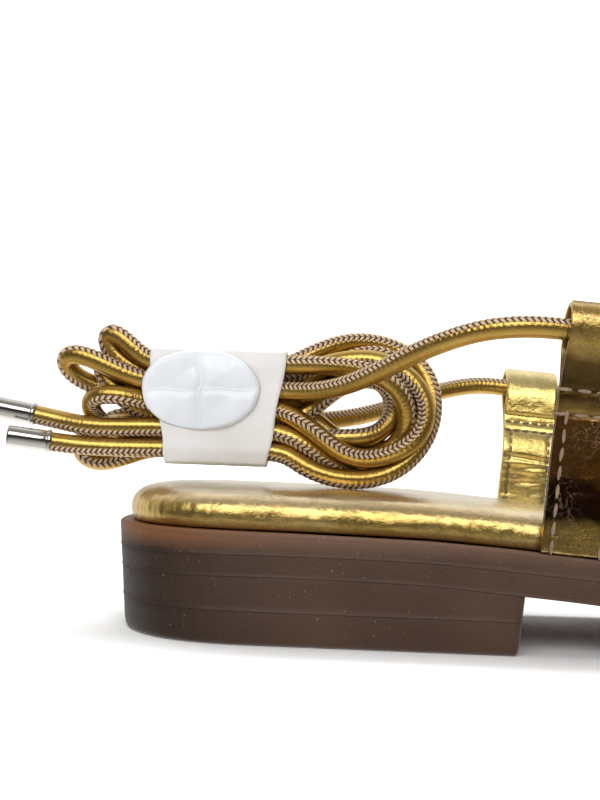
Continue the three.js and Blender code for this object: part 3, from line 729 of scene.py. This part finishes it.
def layer_levels(low, high, foot_round=0.0, top_round=0.05):
    """Levels of one layer, with its edges rounded; a foot_round of 0 leaves a fine raised line."""
    foot, top = sloped(low), sloped(high)
    levels = []
    if foot_round:
        for turn in np.radians((0, 22, 45, 67, 90)):
            levels.append((foot + foot_round * (1 - math.sin(turn)),
                           lambda s, t=turn: low(s) + foot_round * (1 - math.cos(t))))
    else:
        for inset, rise in RAISED_LINE:
            levels.append((foot + inset, lambda s, r=rise: low(s) + r))
    for share in (0.25, 0.5, 0.75):
        levels.append((foot + (top - foot) * share, lambda s, q=share: low(s) * (1 - q) + high(s) * q))
    for turn in np.radians((0, 30, 60, 90)):
        levels.append((top + top_round * (1 - math.cos(turn)),
                       lambda s, t=turn: high(s) - top_round * (1 - math.sin(t))))
    return levels


ring = outline(420)
sole_piece("midsole_layer", "midsole", ring, layer_levels(midsole_foot, rim_top, top_round=RIM_EDGE))
sole_piece("outsole_layer", "outsole", ring,
           layer_levels(outsole_foot, lambda s: midsole_foot(s) - LAP))


def heel_ring(count):
    """The outline behind the breast, with small rounded corners at the breast."""
    full = outline(1600)
    behind = full[full[:, 0] < BREAST - HEEL_CORNER]
    lateral = behind[behind[:, 1] < 0]
    medial = behind[behind[:, 1] >= 0]
    lateral = lateral[np.argsort(lateral[:, 0])]
    medial = medial[np.argsort(-medial[:, 0])]
    low_y, high_y = float(edge_y(BREAST, -1)), float(edge_y(BREAST, 1))
    corner = HEEL_CORNER * np.sin(np.linspace(0, math.pi / 2, 14))
    opposite = HEEL_CORNER - corner[::-1]
    first = np.column_stack([BREAST - HEEL_CORNER + corner, low_y + opposite])
    second = np.column_stack([BREAST - opposite, high_y - HEEL_CORNER + corner])
    return even_ring(np.vstack([lateral, first, second, medial]), count)


def level(height):
    """A level face, as a height at each station."""
    return lambda station: 0 * station + height


def heel_seat(station):
    """The top of the heel lift, which follows the outsole up to the breast."""
    return outsole_foot(np.minimum(station, BREAST)) - LAP


ring = heel_ring(360)
sole_piece("heel_lift_layer", "heel_lift", ring, layer_levels(level(TOP_PIECE + LAP), heel_seat))
sole_piece("top_piece_layer", "top_piece", ring,
           layer_levels(level(0), level(TOP_PIECE), foot_round=FLOOR_EDGE))

# Footbed: foam wrapped in gold leather, standing on the ledge inside the rim. The leather is
# drawn round the edge, which leaves fine puckers in the side.
LEDGE = 2.1
PAD_PROFILE = [(0.5, 0), (0, 2.2), (0.5, 4.4), (2.2, 6.1), (5.5, 7.0), (11, 7.4), (13.5, 7.45)]
PAD_HALF = 640
PAD_THINS_FROM = 120
PAD_THINS = 0.2
PUCKER_HEIGHT = 2.6
PUCKER_SPREAD = 2.4


def leather(name, dark, light, grain=1.0, pale=(), painted_reflection_bands=(), scratched=0.0, **sockets):
    """Smooth gold foil leather: fine cracks and creases over a soft sheen. Pale is a painted highlight, the
    colour of what faces up; the height bands darken it with painted reflections, as (height, colour); and
    scratched lightens thin lines."""
    made = Finish(name, **{"Metallic": 0.96, "Coat_Weight": 0.25, "Coat_Roughness": 0.18, **sockets})
    where = made.at()
    patches = made.noise(where, 45, 3)
    cracks = made.add("TexVoronoi", where, None, 2300 * grain, feature="DISTANCE_TO_EDGE")
    lines = made.ramp(cracks, (0.0, (0.0,)), (0.09, (1.0,)))
    worn = made.ramp(made.noise(where, 220, 3), (0.42, (0.0,)), (0.66, (1.0,)))
    cracked = made.sum("SUBTRACT", 1.0, made.sum("MULTIPLY", made.sum("SUBTRACT", 1.0, lines), worn))
    colour = made.blend(made.ramp(patches, (0.3, (0.0,)), (0.7, (1.0,))), dark, light)
    # Painted highlight: what faces up is blended towards the pale colour.
    if pale:
        facing = made.tree.nodes.new("ShaderNodeSeparateXYZ")
        made.feed(facing.inputs[0], made.add("TexCoord", out=1))
        colour = made.blend(made.ramp(facing.outputs[2], (0.35, (0.0,)), (0.95, (1.0,))), colour, pale)
    shades = [made.blend(cracked, (0.52, 0.50, 0.46), (1.0, 1.0, 1.0))]
    # Painted reflections: the bands darken the colour by height, standing in for the dark studio mirrored
    # in the gold.
    if painted_reflection_bands:
        split = made.tree.nodes.new("ShaderNodeSeparateXYZ")
        made.feed(split.inputs[0], where)
        uneven = made.sum("MULTIPLY", made.noise(where, 130, 3), 0.05)
        level = made.sum("ADD", made.sum("MULTIPLY", split.outputs[2], 10), uneven)
        shades.append(made.ramp(level, *((height / 100 + 0.025, shade) for height, shade in painted_reflection_bands)))
    for shade in shades:
        mixed = made.tree.nodes.new("ShaderNodeMix")
        mixed.data_type = "RGBA"
        mixed.blend_type = "MULTIPLY"
        mixed.inputs[0].default_value = 1.0
        made.feed(mixed.inputs[6], colour)
        made.feed(mixed.inputs[7], shade)
        colour = mixed.outputs[2]
    if scratched:
        wander = made.noise(where, 260, 3).node.outputs["Color"]
        bent = made.add("MixRGB", 0.007, where, wander)
        cells = made.add("TexVoronoi", bent, None, 430, feature="DISTANCE_TO_EDGE")
        strokes = made.ramp(cells, (0.0, (1.0,)), (0.045, (0.0,)))
        patchy = made.ramp(made.noise(where, 75, 2), (0.48, (0.0,)), (0.60, (1.0,)))
        strokes = made.sum("MULTIPLY", made.sum("MULTIPLY", strokes, patchy), scratched)
        colour = made.blend(strokes, colour, (0.85, 0.60, 0.38))
    soft = made.relief(made.noise(where, 900 * grain, 5, 0.6), 0.00020, 0.7)
    made.set(Base_Color=colour, Roughness=made.ramp(patches, (0.2, (0.2,)), (0.8, (0.32,))),
             Normal=made.relief(cracked, 0.00004, 0.4, soft))
    return made


# Its pale colour paints a highlight on the footbed's top.
wrap = leather("gold wrap leather", (0.56, 0.37, 0.10), (0.78, 0.57, 0.20), pale=(0.80, 0.68, 0.46))
station = SOLE_LENGTH / 2 * (1 - np.cos(math.pi * np.arange(PAD_HALF + 1) / PAD_HALF))
lateral_edge = np.stack([station, edge_y(station, -1)], axis=1)
medial_edge = np.stack([station, edge_y(station, 1)], axis=1)[::-1][1:-1]
ring = np.vstack([lateral_edge, medial_edge])
partner = (len(ring) - np.arange(len(ring))) % len(ring)
around = np.r_[0, np.cumsum(np.linalg.norm(np.diff(ring, axis=0), axis=1))]
toe_share = np.clip((ring[:, 0] - PAD_THINS_FROM) / (SOLE_LENGTH - PAD_THINS_FROM), 0, 1)
thinner = 1 - PAD_THINS * toe_share ** 2 * (3 - 2 * toe_share)
rings = []
pad_levels = even_path([(inset, rise, 0) for inset, rise in PAD_PROFILE], 0.5)
for inset, rise, _ in pad_levels:
    side = math.exp(-((rise - PUCKER_HEIGHT) / PUCKER_SPREAD) ** 2)
    fine_pucker = 0.10 * ripple(around, rise * 0.35, 31, 9, 1.9)
    pucker = side * (fine_pucker + 0.07 * ripple(around, rise * 0.8, 32, 7, 4.2))
    flat = inset_ring(ring, LEDGE + inset - pucker)
    rings.append(np.column_stack([flat, rim_top(ring[:, 0]) + JOINT_LINE + rise * thinner]))
edge_ring = rings[-1]
for share in (0.12, 0.28, 0.46, 0.64, 0.82, 1.0):
    rings.append(edge_ring * (1 - share / 2) + edge_ring[partner] * share / 2)
footbed = skin("footbed_pad", metres(rings), wrap.material, caps=False)
footbed_mesh = bmesh.new()
footbed_mesh.from_mesh(footbed.data)
bmesh.ops.remove_doubles(footbed_mesh, verts=footbed_mesh.verts, dist=2e-6)
bmesh.ops.contextual_create(footbed_mesh, geom=[e for e in footbed_mesh.edges if e.is_boundary])
footbed_mesh.to_mesh(footbed.data)
footbed_mesh.free()
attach(footbed, "root")
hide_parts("footbed")

# Side loops: a strip of gold leather, doubled over at the top and stitched to itself, so that
# the tie slides in a flat tunnel. Two rows of thread close the tunnel and one runs along each edge.
PLY = 0.85
LOOP_WIDTH = 12.3
LOOP_TILT = math.radians(4)
LOOP_BORE = 2.5
LOOPS = {
    "lateral": {"side": -1, "station": 86.4, "height": 45.2, "tunnel": 40.3, "stitches": 29.6, "lean": 2.6,
                "fold_at": 17, "fold_depth": 0.5, "fold_span": 6, "rows": (29.6, 25.2), "cut": 32.0,
                "pitch": 3.1, "thick": 0.7, "wrinkle": 0.07},
    "medial": {"side": 1, "station": 88.2, "height": 37.6, "tunnel": 33.2, "stitches": 23.4, "lean": 9,
               "fold_at": 19, "fold_depth": 2.2, "fold_span": 7, "rows": (25.2, 23.3), "cut": 27.0,
               "pitch": 1.9, "thick": 0.5, "wrinkle": 0.20},
}
# The lateral strap's bands of painted reflection, as height in millimetres and what they darken its colour
# by.
PAINTED_REFLECTION_BANDS = (
    (19, (0.75, 0.70, 0.60)), (23.5, (0.75, 0.70, 0.60)), (25.5, (0.05, 0.02, 0.015)),
    (31.5, (0.05, 0.02, 0.015)), (34.5, (0.28, 0.17, 0.10)), (43.5, (0.28, 0.17, 0.10)),
    (45.5, (0.75, 0.70, 0.60)), (48, (0.17, 0.13, 0.08)), (54.5, (0.17, 0.14, 0.08)),
    (57.5, (1.0, 1.0, 1.0)),
)
strap_leathers = {
    "lateral": leather("gold strap leather", (0.44, 0.27, 0.065), (0.74, 0.53, 0.17), 0.8,
                       scratched=0.5, painted_reflection_bands=PAINTED_REFLECTION_BANDS),
    # The medial strap is the same gold leather painted lighter, a lit copy, and its pale colour paints a
    # highlight on what faces up.
    "medial": leather("bright gold strap leather", (0.66, 0.48, 0.13), (0.92, 0.75, 0.30), 0.8,
                      pale=(0.90, 0.76, 0.42)),
}
# Sewn edges: how far in from the edge, and how deep and wide the thread pulls the leather in.
EDGE_STITCH = 1.75
EDGE_DIP = 0.16
EDGE_DIP_WIDTH = 0.45
STITCH_LIFT = 0.12


def strap_centre(loop, height):
    share = np.clip(height / loop["height"], 0, 2)
    fold = loop["fold_depth"] * np.exp(-((height - loop["fold_at"]) / loop["fold_span"]) ** 2)
    return PLY + loop["lean"] * share ** 1.6 - fold


def strap_half(loop, height):
    t = np.clip((height - loop["stitches"]) / (loop["tunnel"] - loop["stitches"]), 0, 1)
    return PLY + LOOP_BORE * t * t * (3 - 2 * t)


def loop_section(loop):
    """The strip's outer line, from the outer foot over the top to the inner foot, with its normals."""
    rise = np.linspace(0, loop["tunnel"], 96)
    widest = LOOP_BORE + PLY
    turn = np.linspace(0, math.pi, 34)[1:-1]
    over = loop["tunnel"] + (loop["height"] - loop["tunnel"]) * np.sin(turn)
    out = np.r_[strap_centre(loop, rise) + strap_half(loop, rise),
                strap_centre(loop, over) + widest * np.cos(turn),
                (strap_centre(loop, rise) - strap_half(loop, rise))[::-1]]
    up = np.r_[rise, over, rise[::-1]]
    inner = np.arange(len(up)) >= len(rise) + len(turn) / 2
    run_out, run_up = np.gradient(out), np.gradient(up)
    size = np.hypot(run_out, run_up)
    return out, up, run_up / size, -run_out / size, inner


def on_loop(loop, forward, outward, up):
    """A point of the loop, from the middle of its foot."""
    face = float(edge_y(loop["station"], loop["side"])) - loop["side"] * (2 * PLY + 0.1)
    base = float(rim_top(loop["station"])) + JOINT_LINE
    return np.stack(np.broadcast_arrays(
        loop["station"] + forward * math.cos(LOOP_TILT) + up * math.sin(LOOP_TILT),
        face + loop["side"] * outward,
        base - forward * math.sin(LOOP_TILT) + up * math.cos(LOOP_TILT)), axis=-1)


def rounded_section(half, thick, corner, across):
    """A strip's section as (across, depth, is it the face) with small rounded corners."""
    turn = np.radians((0, 30, 60, 90))
    face = [(w, 0.0, 1.0) for w in np.linspace(-half + corner, half - corner, across)[1:-1]]
    right = [(half - corner + corner * math.sin(t), corner - corner * math.cos(t), 0.0) for t in turn]
    left = [(-w, d, f) for w, d, f in right[::-1]]
    under = [(w, thick - d, f) for w, d, f in right[::-1]]
    back = [(w, thick, 0.0) for w in np.linspace(half - corner, -half + corner, 5)[1:-1]]
    return np.array(face + right + under + back + [(w, thick - d, f) for w, d, f in left[::-1]] + left)


def dips(value, places, width):
    """Soft dips of depth 1 at each place."""
    return sum(np.exp(-((value - place) / width) ** 2) for place in places)


def loop_relief(loop, up, across, inner):
    """How far the leather's face stands out or in: sewn rows, sewn edges, wrinkles and the cut edge."""
    sewn = np.abs(across) < LOOP_WIDTH / 2 - 0.6
    face = -0.20 * dips(up, loop["rows"], 0.5) * sewn
    below = np.clip((loop["rows"][1] - up) / 0.8, 0, 1)
    from_row = (np.abs(across) - (LOOP_WIDTH / 2 - EDGE_STITCH)) / EDGE_DIP_WIDTH
    face = face - EDGE_DIP * below * np.exp(-from_row ** 2)
    face = face + 0.10 * below * np.exp(-(across / 3.0) ** 2)
    creased = np.clip((loop["fold_at"] - 1 - up) / 4, 0, 1) * loop["wrinkle"]
    face = face + creased * ripple(up * 1.0, across * 0.33 + up * 0.12, 41, 7, 2.4)
    face = face + 0.035 * ripple(across, up, 42, 7, 5.0)
    flap = inner * np.clip((up - loop["cut"]) / 0.3, 0, 1) * 0.45
    from_fold = (up - loop["fold_at"] + 2.2 + 0.06 * across) / 0.55
    fold = inner * -0.35 * np.exp(-from_fold ** 2) * loop["wrinkle"] / 0.2
    return face + flap + fold


def on_face(loop, profile, is_inner, height, across):
    """Points just proud of one face of the strap, where its stitches lie."""
    out, up, normal_out, _, inner = profile
    face = inner == is_inner
    order = np.argsort(up[face])
    outward = np.interp(height, up[face][order], out[face][order])
    normal = np.interp(height, up[face][order], normal_out[face][order])
    proud = STITCH_LIFT + loop_relief(loop, height, across, is_inner)
    return on_loop(loop, across, outward + normal * proud, height)


stitch_rows = {"lateral": [], "medial": []}
for side, loop in LOOPS.items():
    profile = loop_section(loop)
    section = rounded_section(LOOP_WIDTH / 2, PLY - 0.03, 0.22, 31)
    rings = []
    for o, u, no, nu, is_inner in zip(*profile):
        lift = loop_relief(loop, u, section[:, 0], is_inner) * section[:, 2] - section[:, 1]
        rings.append(on_loop(loop, section[:, 0], o + no * lift, u + nu * lift))
    if loop["side"] > 0:
        rings = [r[::-1] for r in rings]
    strap = skin(f"{side}_loop_strap", metres(rings), strap_leathers[side].material)
    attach(strap, "root")
    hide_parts(f"{side}_loop")
    heights = np.arange(1.0, loop["rows"][1] - 0.4, 0.4)
    widths = np.linspace(-LOOP_WIDTH / 2 + 0.9, LOOP_WIDTH / 2 - 0.9, 30)
    for is_inner in (False, True):
        for edge in (-1, 1):
            from_middle = edge * (LOOP_WIDTH / 2 - EDGE_STITCH) + 0 * heights
            stitch_rows[side].append(on_face(loop, profile, is_inner, heights, from_middle))
        for row in loop["rows"]:
            stitch_rows[side].append(on_face(loop, profile, is_inner, row + 0 * widths, widths))

# Thread: waxed beige thread, sewn by machine through the straps with one stitch for each pitch
# along a row. The stitches of a strap are one piece.
STITCH_SHARE = 0.86
waxed = Finish("beige thread", Roughness=0.55, Sheen_Weight=0.2)
waxed_at = waxed.at()
waxed.set(Base_Color=waxed.blend(waxed.noise(waxed_at, 900, 2), (0.11, 0.062, 0.032), (0.36, 0.26, 0.17)),
          Normal=waxed.relief(waxed.noise(waxed_at, 3500, 2), 0.00006, 0.8))


def make_stitch_tree():
    """Geometry nodes that lay one slender bead of thread at each pitch along a line."""
    tree = bpy.data.node_groups.new("stitch rows", "GeometryNodeTree")
    tree.interface.new_socket("Geometry", in_out="INPUT", socket_type="NodeSocketGeometry")
    for name in ("Pitch", "Length", "Thickness"):
        tree.interface.new_socket(name, in_out="INPUT", socket_type="NodeSocketFloat")
    tree.interface.new_socket("Thread", in_out="INPUT", socket_type="NodeSocketMaterial")
    tree.interface.new_socket("Geometry", in_out="OUTPUT", socket_type="NodeSocketGeometry")
    add, join = tree.nodes.new, tree.links.new
    given, result = add("NodeGroupInput"), add("NodeGroupOutput")
    line, steps = add("GeometryNodeMeshToCurve"), add("GeometryNodeResampleCurve")
    tangent = add("GeometryNodeInputTangent")
    steps.mode = "LENGTH"
    aim = add("FunctionNodeAlignRotationToVector")
    aim.axis = "Z"
    jitter, turned = add("FunctionNodeRandomValue"), add("FunctionNodeRotateRotation")
    jitter.data_type = "FLOAT_VECTOR"
    jitter.inputs["Min"].default_value = (-0.10, -0.10, 0.0)
    jitter.inputs["Max"].default_value = (0.10, 0.10, 0.0)
    jitter.inputs["Seed"].default_value = 7
    turned.rotation_space = "LOCAL"
    bead, size = add("GeometryNodeMeshUVSphere"), add("ShaderNodeCombineXYZ")
    shaped = add("GeometryNodeTransform")
    bead.inputs["Segments"].default_value = 10
    bead.inputs["Rings"].default_value = 8
    bead.inputs["Radius"].default_value = 0.5
    place, whole = add("GeometryNodeInstanceOnPoints"), add("GeometryNodeRealizeInstances")
    smooth = add("GeometryNodeSetShadeSmooth")
    coat = add("GeometryNodeSetMaterial")
    join(given.outputs["Geometry"], line.inputs[0])
    join(line.outputs[0], steps.inputs["Curve"])
    join(given.outputs["Pitch"], steps.inputs["Length"])
    join(tangent.outputs[0], aim.inputs["Vector"])
    join(aim.outputs[0], turned.inputs[0])
    join(jitter.outputs[0], turned.inputs[1])
    for k, name in enumerate(("Thickness", "Thickness", "Length")):
        join(given.outputs[name], size.inputs[k])
    join(bead.outputs["Mesh"], shaped.inputs["Geometry"])
    join(size.outputs[0], shaped.inputs["Scale"])
    join(steps.outputs[0], place.inputs["Points"])
    join(shaped.outputs[0], place.inputs["Instance"])
    join(turned.outputs[0], place.inputs["Rotation"])
    join(place.outputs[0], whole.inputs[0])
    join(whole.outputs[0], smooth.inputs[0])
    join(smooth.outputs[0], coat.inputs["Geometry"])
    join(given.outputs["Thread"], coat.inputs["Material"])
    join(coat.outputs[0], result.inputs[0])
    return tree


stitch_tree = make_stitch_tree()
stitch_inputs = {s.name: s.identifier for s in stitch_tree.interface.items_tree if s.in_out == "INPUT"}


def sew(name, rows, pitch, thick):
    """Stitches along rows of points in millimetres, made into one plain mesh."""
    points, edges = [], []
    for row in rows:
        start = len(points)
        points += [tuple(p) for p in metres(row)]
        edges += [(k, k + 1) for k in range(start, len(points) - 1)]
    guide = bpy.data.meshes.new(name + "_guide")
    guide.from_pydata(points, edges, [])
    host = bpy.data.objects.new(name + "_guide", guide)
    bpy.context.scene.collection.objects.link(host)
    sewing = host.modifiers.new("stitches", "NODES")
    sewing.node_group = stitch_tree
    sewing[stitch_inputs["Pitch"]] = pitch / 1000
    sewing[stitch_inputs["Length"]] = STITCH_SHARE * pitch / 1000
    sewing[stitch_inputs["Thickness"]] = thick / 1000
    sewing[stitch_inputs["Thread"]] = waxed.material
    ready = host.evaluated_get(bpy.context.evaluated_depsgraph_get())
    mesh = bpy.data.meshes.new_from_object(ready)
    bpy.data.objects.remove(host)
    made = bpy.data.objects.new(name, mesh)
    bpy.context.scene.collection.objects.link(made)
    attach(made, "root")
    return made


for side, rows in stitch_rows.items():
    sew(f"{side}_loop_stitches", rows, LOOPS[side]["pitch"], LOOPS[side]["thick"])

# Toe strap: one band of doubled gold leather over the ball of the foot, stitched along both
# edges, with a folded tunnel across its top for the lace.
TOE_STRAP = {"station": (154, 165, 176, 187), "crown": (41.5, 39.2, 36.6, 33.6)}
ARCH_CENTRE = 4
ARCH_FULLNESS = 2.5
TUNNEL = {"station": 160.5, "rise": 2.2, "reach": 15, "radius": 3.45, "bore": 2.55, "above": 28}
TUNNEL_SEAM = 5.0
# The groove that the lace presses into the strap, to this distance from the strap's middle.
GROOVE = {"depth": 1.2, "half_width": 1.7, "reach": 24, "fade": 4}


def arch_line(station):
    """The middle of the strap's leather in one section, from the lateral foot to the medial foot."""
    base = float(rim_top(station)) + JOINT_LINE + PLY
    crown = float(along(TOE_STRAP, "crown", station))
    walls = [float(edge_y(station, s)) - s * (PLY + 0.1) for s in (-1, 1)]
    turn = np.linspace(math.pi, 0, 240)
    across = np.sign(np.cos(turn)) * np.abs(np.cos(turn)) ** (2 / ARCH_FULLNESS)
    rise = np.abs(np.sin(turn)) ** (2 / ARCH_FULLNESS)
    reach = np.where(across < 0, ARCH_CENTRE - walls[0], walls[1] - ARCH_CENTRE)
    line = np.stack([ARCH_CENTRE + across * reach, base + 1.8 + rise * (crown - 2 * PLY)], axis=1)
    line = np.vstack([(walls[0], base - PLY), line, (walls[1], base - PLY)])
    run = np.r_[0, np.cumsum(np.linalg.norm(np.diff(line, axis=0), axis=1))]
    stops = np.linspace(0, run[-1], 150)
    return np.stack([np.interp(stops, run, line[:, k]) for k in range(2)], axis=1)


def line_normals(line):
    step = np.gradient(line, axis=0)
    step /= np.linalg.norm(step, axis=1)[:, None]
    return np.stack([-step[:, 1], step[:, 0]], axis=1)


half_band = (TOE_STRAP["station"][-1] - TOE_STRAP["station"][0]) / 2
band_middle = (TOE_STRAP["station"][-1] + TOE_STRAP["station"][0]) / 2
section = rounded_section(half_band, 2 * PLY, 0.3, 45)
columns = []
for offset, depth, is_face in section:
    line = arch_line(band_middle + offset)
    height = np.arange(len(line))
    lift = PLY - depth
    if is_face:
        from_row = (abs(offset) - half_band + EDGE_STITCH) / EDGE_DIP_WIDTH
        lift = lift - EDGE_DIP * math.exp(-from_row ** 2)
        lift = lift + 0.05 * ripple(height * 0.8, offset + 0 * height, 51, 7, 9.0)
        lift = np.asarray(lift) + 0.07 * math.exp(-(offset / 9) ** 2)
        pressed = np.clip((GROOVE["reach"] - np.abs(line[:, 0] - ARCH_CENTRE)) / GROOVE["fade"], 0, 1)
        from_lace = (band_middle + offset - TUNNEL["station"]) / GROOVE["half_width"]
        lift = lift - GROOVE["depth"] * pressed * math.exp(-from_lace ** 2)
    spot = line + line_normals(line) * np.reshape(lift, (-1, 1))
    columns.append(np.column_stack([np.full(len(line), band_middle + offset), spot]))
rings = np.stack(columns, axis=1)
# Its pale colour paints a highlight on the strap's top.
toe_leather = leather("gold toe strap leather", (0.50, 0.32, 0.09), (0.74, 0.54, 0.19), 0.8,
                      pale=(0.84, 0.70, 0.42))
toe_strap = skin("toe_strap_band", metres(rings), toe_leather.material)

tunnel_line = arch_line(TUNNEL["station"])
on_top = np.abs(tunnel_line[:, 0] - ARCH_CENTRE) < TUNNEL["reach"]
tunnel_line = tunnel_line[on_top & (tunnel_line[:, 1] > TUNNEL["above"])]
tunnel_normals = line_normals(tunnel_line)
rings = []
turns = np.linspace(0, 2 * math.pi, 41)[:-1]
middle = np.column_stack([np.full(len(tunnel_line), TUNNEL["station"]), tunnel_line[:, 0],
                          tunnel_line[:, 1] + TUNNEL["rise"]])
flare = np.where(np.sin(turns) < -0.2, 1.05, 1.0)
for radius, way in ((TUNNEL["radius"], 1), (TUNNEL["bore"], -1)):
    for spot, normal in zip(middle[::way], tunnel_normals[::way]):
        wide, high = radius * np.cos(turns) * flare, radius * np.sin(turns)
        rings.append(spot + np.stack([wide, high * normal[0], high * normal[1]], axis=1))
rings.append(rings[0])
tunnel = skin("toe_strap_tunnel", metres(rings), toe_leather.material, caps=False)
for made in (toe_strap, tunnel):
    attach(made, "root")
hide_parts("toe_strap")

rows = []
for station in (TOE_STRAP["station"][0] + EDGE_STITCH, TOE_STRAP["station"][-1] - EDGE_STITCH):
    line = arch_line(station)
    line = line + line_normals(line) * (PLY - 0.05)
    rows.append(np.column_stack([np.full(len(line), station), line])[3:-3])
station = TUNNEL["station"] + TUNNEL_SEAM
line = arch_line(station)
beside_tunnel = np.abs(line[:, 0] - ARCH_CENTRE) < TUNNEL["reach"]
line = (line + line_normals(line) * (PLY + 0.1))[beside_tunnel]
rows.append(np.column_stack([np.full(len(line), station), line]))
sew("toe_strap_stitches", rows, 3.0, 0.75)

# Lace: the same rolled cord as the ties, in one length from loop to loop. It runs through the
# toe strap's tunnel, pressed into the leather there, and ends inside the side loops.
LACE_ROUTES = {
    "lateral": [
        (160.5, -13.9, 50.7), (160.1, -18.1, 50.4), (157.7, -22.2, 50.1), (153.3, -25.4, 49.6),
        (146.0, -27.6, 49.4), (135.0, -29.3, 51.0), (122.0, -30.9, 53.8), (110.5, -31.8, 56.6),
    ],
    "medial": [
        (160.2, 22.0, 49.5), (157.9, 26.4, 48.5), (153.3, 29.8, 47.4), (146.0, 32.0, 46.4),
        (135.0, 33.2, 46.2), (122.0, 33.8, 47.6), (111.5, 33.9, 49.6),
    ],
}


LOOP_MOUTH = LOOP_WIDTH / 2
IN_LOOP = (-4.4, 0, LOOP_MOUTH, LOOP_MOUTH + 4)


def through_loop(side, forwards):
    """The lace's points in a side loop's tunnel, forward from the middle of the loop."""
    loop = LOOPS[side]
    outward = float(strap_centre(loop, loop["tunnel"]))
    return [tuple(on_loop(loop, f, outward, loop["tunnel"])) for f in forwards]


over_strap = [tuple(p) for p in middle[::6]]
lace_path = [*through_loop("lateral", IN_LOOP), *LACE_ROUTES["lateral"][::-1], *over_strap,
             *LACE_ROUTES["medial"], *through_loop("medial", IN_LOOP[::-1])]
lace = cord_mesh("lace_cord", lace_path, tie_turn([(0, 0.9), (1, 0.4)]))
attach(lace, "root")
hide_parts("lace")

# Floor and light: a pale sweep, one wide soft lamp in front and above for the gloss, and plain
# soft light from overhead. The studio is white behind the shoe and dim in front of it.
FLOOR_ARC = 0.6
BACK_WALL = 1.3
sweep_line = [(-4.0, 0.0), (BACK_WALL, 0.0)]
sweep_line += [(BACK_WALL + FLOOR_ARC * math.sin(t), FLOOR_ARC * (1 - math.cos(t)))
               for t in np.linspace(0.2, math.pi / 2, 9)]
sweep_line += [(BACK_WALL + FLOOR_ARC, 3.0)]
pale = Finish("pale floor", Base_Color=(0.92, 0.92, 0.92, 1), Roughness=0.9)
pale.set(Specular_IOR_Level=0.0)
sweep = skin("floor", [[(x, y, z) for x in (-5.0, 5.0)] for y, z in sweep_line], pale.material,
             wrap=False, caps=False)
sweep.visible_glossy = False
sweep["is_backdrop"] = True

LAMPS = [
    ("key", (-0.2, -0.85, 0.58), (-0.07, 0.0, 0.03), (1.2, 0.5), 6.5, True),
    ("overhead", (-0.05, 0.1, 1.3), (-0.05, 0.0, 0.0), (1.4, 1.4), 9.0, False),
    ("backdrop", (0.0, 0.75, 1.5), (0.0, 1.8, 0.3), (2.5, 1.0), 40.0, False),
]
for name, place, aim, (wide, high), watts, shines in LAMPS:
    lamp = bpy.data.objects.new(name, bpy.data.lights.new(name, "AREA"))
    lamp.data.shape = "RECTANGLE"
    lamp.data.size = wide
    lamp.data.size_y = high
    lamp.data.energy = watts
    lamp.visible_glossy = shines
    lamp.location = place
    lamp.rotation_euler = (Vector(aim) - Vector(place)).to_track_quat("-Z", "Y").to_euler()
    bpy.context.scene.collection.objects.link(lamp)

studio = bpy.data.worlds.new("studio")
studio.use_nodes = True
sky = studio.node_tree
add, join = sky.nodes.new, sky.links.new
where, split = add("ShaderNodeTexCoord"), add("ShaderNodeSeparateXYZ")
join(where.outputs["Generated"], split.inputs[0])
# Each row is the axis looked along, the range of direction that it fades over and its strength.
GLOW = [(1, -0.15, 0.35, 0.05, 0.85), (2, 0.1, 1.0, 0.0, 0.35), (2, -0.9, -0.1, 0.9, 0.0)]
total = None
for axis, low, high, dim, bright in GLOW:
    fade = add("ShaderNodeMapRange")
    join(split.outputs[axis], fade.inputs["Value"])
    for socket, value in zip(("From Min", "From Max", "To Min", "To Max"), (low, high, dim, bright)):
        fade.inputs[socket].default_value = value
    if total is not None:
        both = add("ShaderNodeMath")
        join(total, both.inputs[0])
        join(fade.outputs[0], both.inputs[1])
    total = fade.outputs[0] if total is None else both.outputs[0]
seen, plain, share = add("ShaderNodeLightPath"), add("ShaderNodeBackground"), add("ShaderNodeMixShader")
plain.inputs[0].default_value = (0.86, 0.86, 0.86, 1)
join(total, sky.nodes["Background"].inputs["Strength"])
sky.nodes["Background"].inputs[0].default_value = (1.0, 0.98, 0.95, 1)
join(seen.outputs["Is Camera Ray"], share.inputs[0])
join(sky.nodes["Background"].outputs[0], share.inputs[1])
join(plain.outputs[0], share.inputs[2])
join(share.outputs[0], sky.nodes["World Output"].inputs[0])
bpy.context.scene.world = studio
bpy.context.scene.view_settings.view_transform = "Standard"

# Size: the box of the solids and of what is shown.
low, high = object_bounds()
{"cad": [list(cad_low), list(cad_high)], "visual": [list(low), list(high)]}
